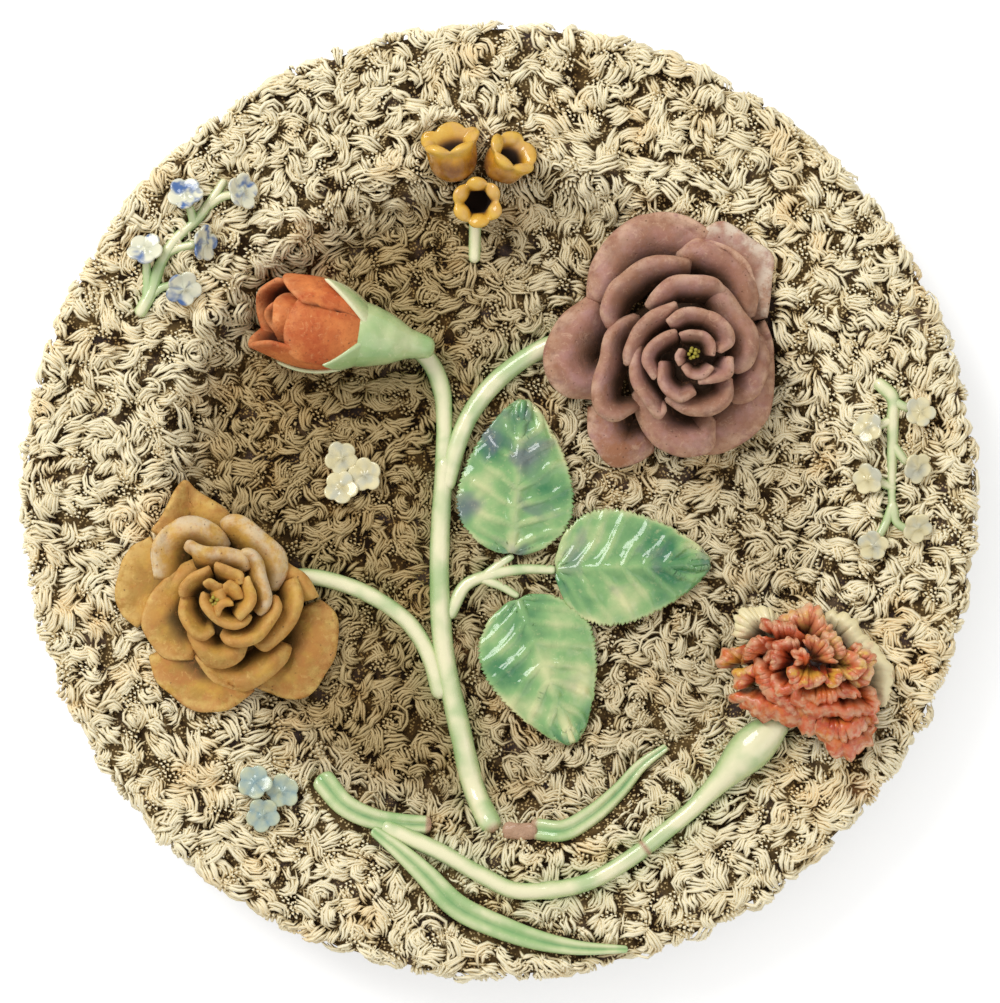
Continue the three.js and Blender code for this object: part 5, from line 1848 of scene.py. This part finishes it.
    def over(self, strands: Strands, level: np.ndarray) -> np.ndarray:
        """How far the strands lie over the map of the strands round them."""
        return strands.height - level[self.cells(strands.plan, self.cell)]

    def body(self, strands: Strands, level: np.ndarray) -> Surface:
        """The closed three-sided strands: two lower corners and a top one in each ring.

        Args:
            strands: The strands.
            level: The map of heights round them.

        Returns:
            One body with its tones.
        """
        place, normal = self.lay(strands.plan, strands.height)
        tangent = unit(np.gradient(place, axis=1) + 1e-9)
        normal = np.where((np.abs((tangent * normal).sum(-1)) > 0.85)[..., None], [0.6, 0.8, 0.0], normal)
        side = unit(np.cross(tangent, normal))
        top = np.cross(side, tangent)
        width = strands.width[..., None]
        corners = np.stack([place + (side - 0.45 * top) * width, place + top * width * 0.9,
                            place - (side + 0.45 * top) * width], axis=2)
        count, rings = strands.height.shape
        index = np.arange(count * rings * 3).reshape(count, rings, 3)
        following = np.roll(index, -1, axis=2)
        sides = np.stack([index[:, :-1], following[:, :-1], following[:, 1:], index[:, 1:]], -1).reshape(-1, 4)
        nothing = np.full((count, 1), -1)
        start = np.concatenate([index[:, 0, ::-1], nothing], 1)
        end = np.concatenate([index[:, -1], nothing], 1)
        # Tone: strands low among their neighbours are darker, partly the brown wash and partly painted shade; the
        # top corner is lighter than the lower two, partly a painted highlight.
        tone = 0.43 + 0.27 * self.over(strands, level)[..., None] + np.array([-0.2, 0.2, -0.2])
        shade = np.broadcast_to(strands.shade[:, None, None], corners.shape[:3])
        flat = corners.reshape(-1, 3)
        return Surface(flat, np.concatenate([sides, start, end]), {
            "tone": np.clip(tone, 0, 1).ravel(), "strand": shade.reshape(-1), **self.stains(flat)}).outward()

    def stains(self, points: np.ndarray) -> dict[str, np.ndarray]:
        """Green next to the stems, rust in a few spots, and how far into the well a place is, where it is darker,
        partly as more brown wash and partly as painted shade, more on its left.

        Args:
            points: Places, shape (n, 3).

        Returns:
            The values green, rust and zone.
        """
        stems = Stems()
        lines = [FORM.stem_line(3.0, route, 40)[:, :2] for route in (
            stems.main, stems.mauve, stems.bud, stems.ochre, stems.stalk, stems.carnation)]
        far = np.full(len(points), 1e9)
        for x, y in np.concatenate(lines):
            far = np.minimum(far, (points[:, 0] - x) ** 2 + (points[:, 1] - y) ** 2)
        green = 0.75 * np.exp(-far / 90.0) * (0.6 + 0.4 * lumps(points, 9.0, 3.0))
        rust = np.zeros(len(points))
        for x, y, size in self.rusts:
            rust += 0.5 * np.exp(-((points[:, 0] - x) ** 2 + (points[:, 1] - y) ** 2) / size ** 2)
        radius = np.hypot(points[:, 0], points[:, 1])
        # The well darkens, more on its left: partly more brown wash, partly painted shade.
        zone = ease((150 - radius) / 34) * (0.95 - 0.6 * ease((points[:, 0] + 40) / 80))
        return {"green": green, "rust": rust, "zone": zone}

    def bed(self) -> Surface:
        """The rough bed under the strands, closed 0.3 mm over the dish.

        Returns:
            The closed bed.
        """
        far = np.concatenate([np.linspace(0.4, 120, 36), np.linspace(123, 205.5, 34)])
        angle = full_turn(170)
        plan = far[:, None, None] * np.stack([np.cos(angle), np.sin(angle)], -1)
        level = np.dstack([plan, np.zeros(plan.shape[:2])])
        rough, fine = lumps(level, 6.0, 2.0), lumps(level, 2.6, 8.0)
        upper, _ = self.lay(plan, -1.5 + 0.6 * rough + 0.35 * fine)
        under = np.array([[195.0, 31.8], [194.6, 36.0], [194.3, 38.6]] + [
            [r, float(FORM.dish_top(np.array(r))) + 0.3] for r in np.linspace(193.5, 0.4, 30)])
        lower = np.stack([under[:, :1] * np.cos(angle), under[:, :1] * np.sin(angle), under[:, 1:] + 0 * angle], -1)
        grid = np.concatenate([upper, lower])
        # The bed is dark brown at the bottom of the hollows: partly the wash, partly painted shade.
        body = ringed(grid, tone=0.04 + 0.08 * lumps(grid, 3.2) + 0.05 * lumps(grid, 1.6))
        return body.valued(strand=0.3, **self.stains(body.points))

    def build(self) -> None:
        """Adds the bed and the strands, in four quarters; strands buried along their whole length are left out."""
        draw = np.random.default_rng(self.seed)
        material = MossFinish().make()
        add_piece("moss_bed", self.bed(), MossFinish("moss_bed_clay", 0.5).make(), "moss_clay", "moss_bed")
        low = self.ceiling()
        groups = [self.pressed(self.combed(draw), low), self.pressed(self.tufts(draw), low)]
        level = self.crevices(groups)
        groups = [group.picked(self.over(group, level).max(axis=1) > self.buried) for group in groups]
        for quarter in range(4):
            bodies = []
            for group in groups:
                middle = group.plan.mean(axis=1)
                angle = np.degrees(np.arctan2(middle[:, 1], middle[:, 0]))
                bodies.append(self.body(group.picked(np.floor(angle / 90.0) + 2 == quarter), level))
            add_piece(f"moss_strands_{quarter + 1}", joined(bodies), material, "moss_clay", "moss_bed")


@dataclass
class Dish:
    """The thrown dish, seen from below: a flat base in a foot ring, and a spreading rim."""

    sides: int = 168

    def build(self) -> None:
        """Adds the dish."""
        corners = np.array([
            [0.3, 7], [60, 7], [93, 7], [95.6, 6.6], [96.2, 5.6], [96.8, 1.4], [97.8, .2], [100.5, 0], [103, .2],
            [104.2, 1.4], [106.2, 5.4], [108, 7.2], [112, 8.8], [152, 24], [175, 28], [190, 30.6], [193, 31.4],
            [194, 33], [194, 36.4], [193.2, 37.6]])
        radii = np.linspace(191, 0.3, 40)
        top = np.column_stack([radii, FORM.dish_top(radii)])
        add_glazed("dish", turned(np.concatenate([corners, top]), self.sides), Glaze.DISH)


# The room


@dataclass
class Room:
    """A pale floor, soft lights from the upper left, and the camera straight above the plate."""

    key: float = 26.0
    key_place: tuple[float, float, float] = (-1.05, 1.15, 1.5)
    key_size: float = 1.1
    fill: float = 5.0
    fill_place: tuple[float, float, float] = (1.2, -0.9, 1.7)
    fill_size: float = 1.6
    sky: float = 0.62
    floor_reach: float = 3.0
    floor_glow: float = 0.4

    def light(self, name: str, place: tuple[float, float, float], power: float, size: float) -> None:
        """Adds a square light that looks at the plate.

        Args:
            name: The light's name.
            place: Where it stands, in metres.
            power: Watts.
            size: Edge of its square.
        """
        data = bpy.data.lights.new(name, "AREA")
        data.energy = power
        data.size = size
        lamp = new_object(name, data)
        lamp.location = place
        away = unit(np.array(place))
        lamp.rotation_euler = (float(np.arccos(away[2])), 0.0, float(np.arctan2(away[1], away[0]) + np.pi / 2))

    def build(self) -> None:
        """Sets up the floor, the lights, the camera and the plain view."""
        s = Shading("floor_paper")
        white = s.mix(s.noise(90.0, 2.0), (246, 246, 245), (250, 250, 249))
        mesh = bpy.data.meshes.new("floor")
        far = self.floor_reach
        mesh.from_pydata([(-far, -far, 0.0), (far, -far, 0.0), (far, far, 0.0), (-far, far, 0.0)], [],
                         [(0, 1, 2, 3)])
        mesh.materials.append(s.finish(Base_Color=white, Roughness=0.9, Emission_Color=(255, 255, 255),
                                       Emission_Strength=self.floor_glow))
        new_object("floor", mesh)
        self.light("key_light", self.key_place, self.key, self.key_size)
        self.light("fill_light", self.fill_place, self.fill, self.fill_size)
        world = bpy.context.scene.world or bpy.data.worlds.new("world")
        bpy.context.scene.world = world
        world.use_nodes = True
        sky = world.node_tree.nodes.get("Background") or world.node_tree.nodes.new("ShaderNodeBackground")
        sky.inputs["Color"].default_value = (1.0, 1.0, 1.0, 1.0)
        sky.inputs["Strength"].default_value = self.sky
        camera = new_object("camera", bpy.data.cameras.new("camera"))
        bpy.context.scene.camera = camera
        camera.location = (0.0, 0.0, (PICTURE.level + PICTURE.distance) * METRES)
        camera.data.sensor_width = PICTURE.sensor
        camera.data.lens = PICTURE.sensor * PICTURE.distance / (PICTURE.pixel * PICTURE.height)
        bpy.context.scene.view_settings.view_transform = "Standard"


def main() -> None:
    """Builds every piece of the plate and the room."""
    logging.basicConfig(level=logging.INFO, format="%(name)s: %(message)s")
    Room().build()
    Dish().build()
    Stems().build()
    Blades().build()
    Leaf("leaf_top", (.0235, -.109), 85.5, 0.0, 0.4, 0.05).build()
    Leaf("leaf_right", (.1185, -.1435), 2.6, 1.2, 2.1, 0.45).build()
    Leaf("leaf_bottom", (.0375, -.2065), -69.0, 0.0, 4.2, 0.8).build()
    Rose("rose_mauve", MAUVE, (693, 353), MAUVE_PETALS, 57.6).build()
    Rose("rose_ochre", OCHRE, (216, 599), OCHRE_PETALS, 54.8, core=26.0).build()
    Rosebud().build()
    Rose("carnation_head", CarnationFinish(), (813, 663), CARNATION_PETALS, 75.8, stamens=0, thickness=1.6,
         core=18.0, rows=14, columns=58, ragged=1.5, narrow=0.72).build()
    Sprays().build()
    YellowCluster().build()
    Moss().build()
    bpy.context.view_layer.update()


if __name__ == "__main__":
    main()
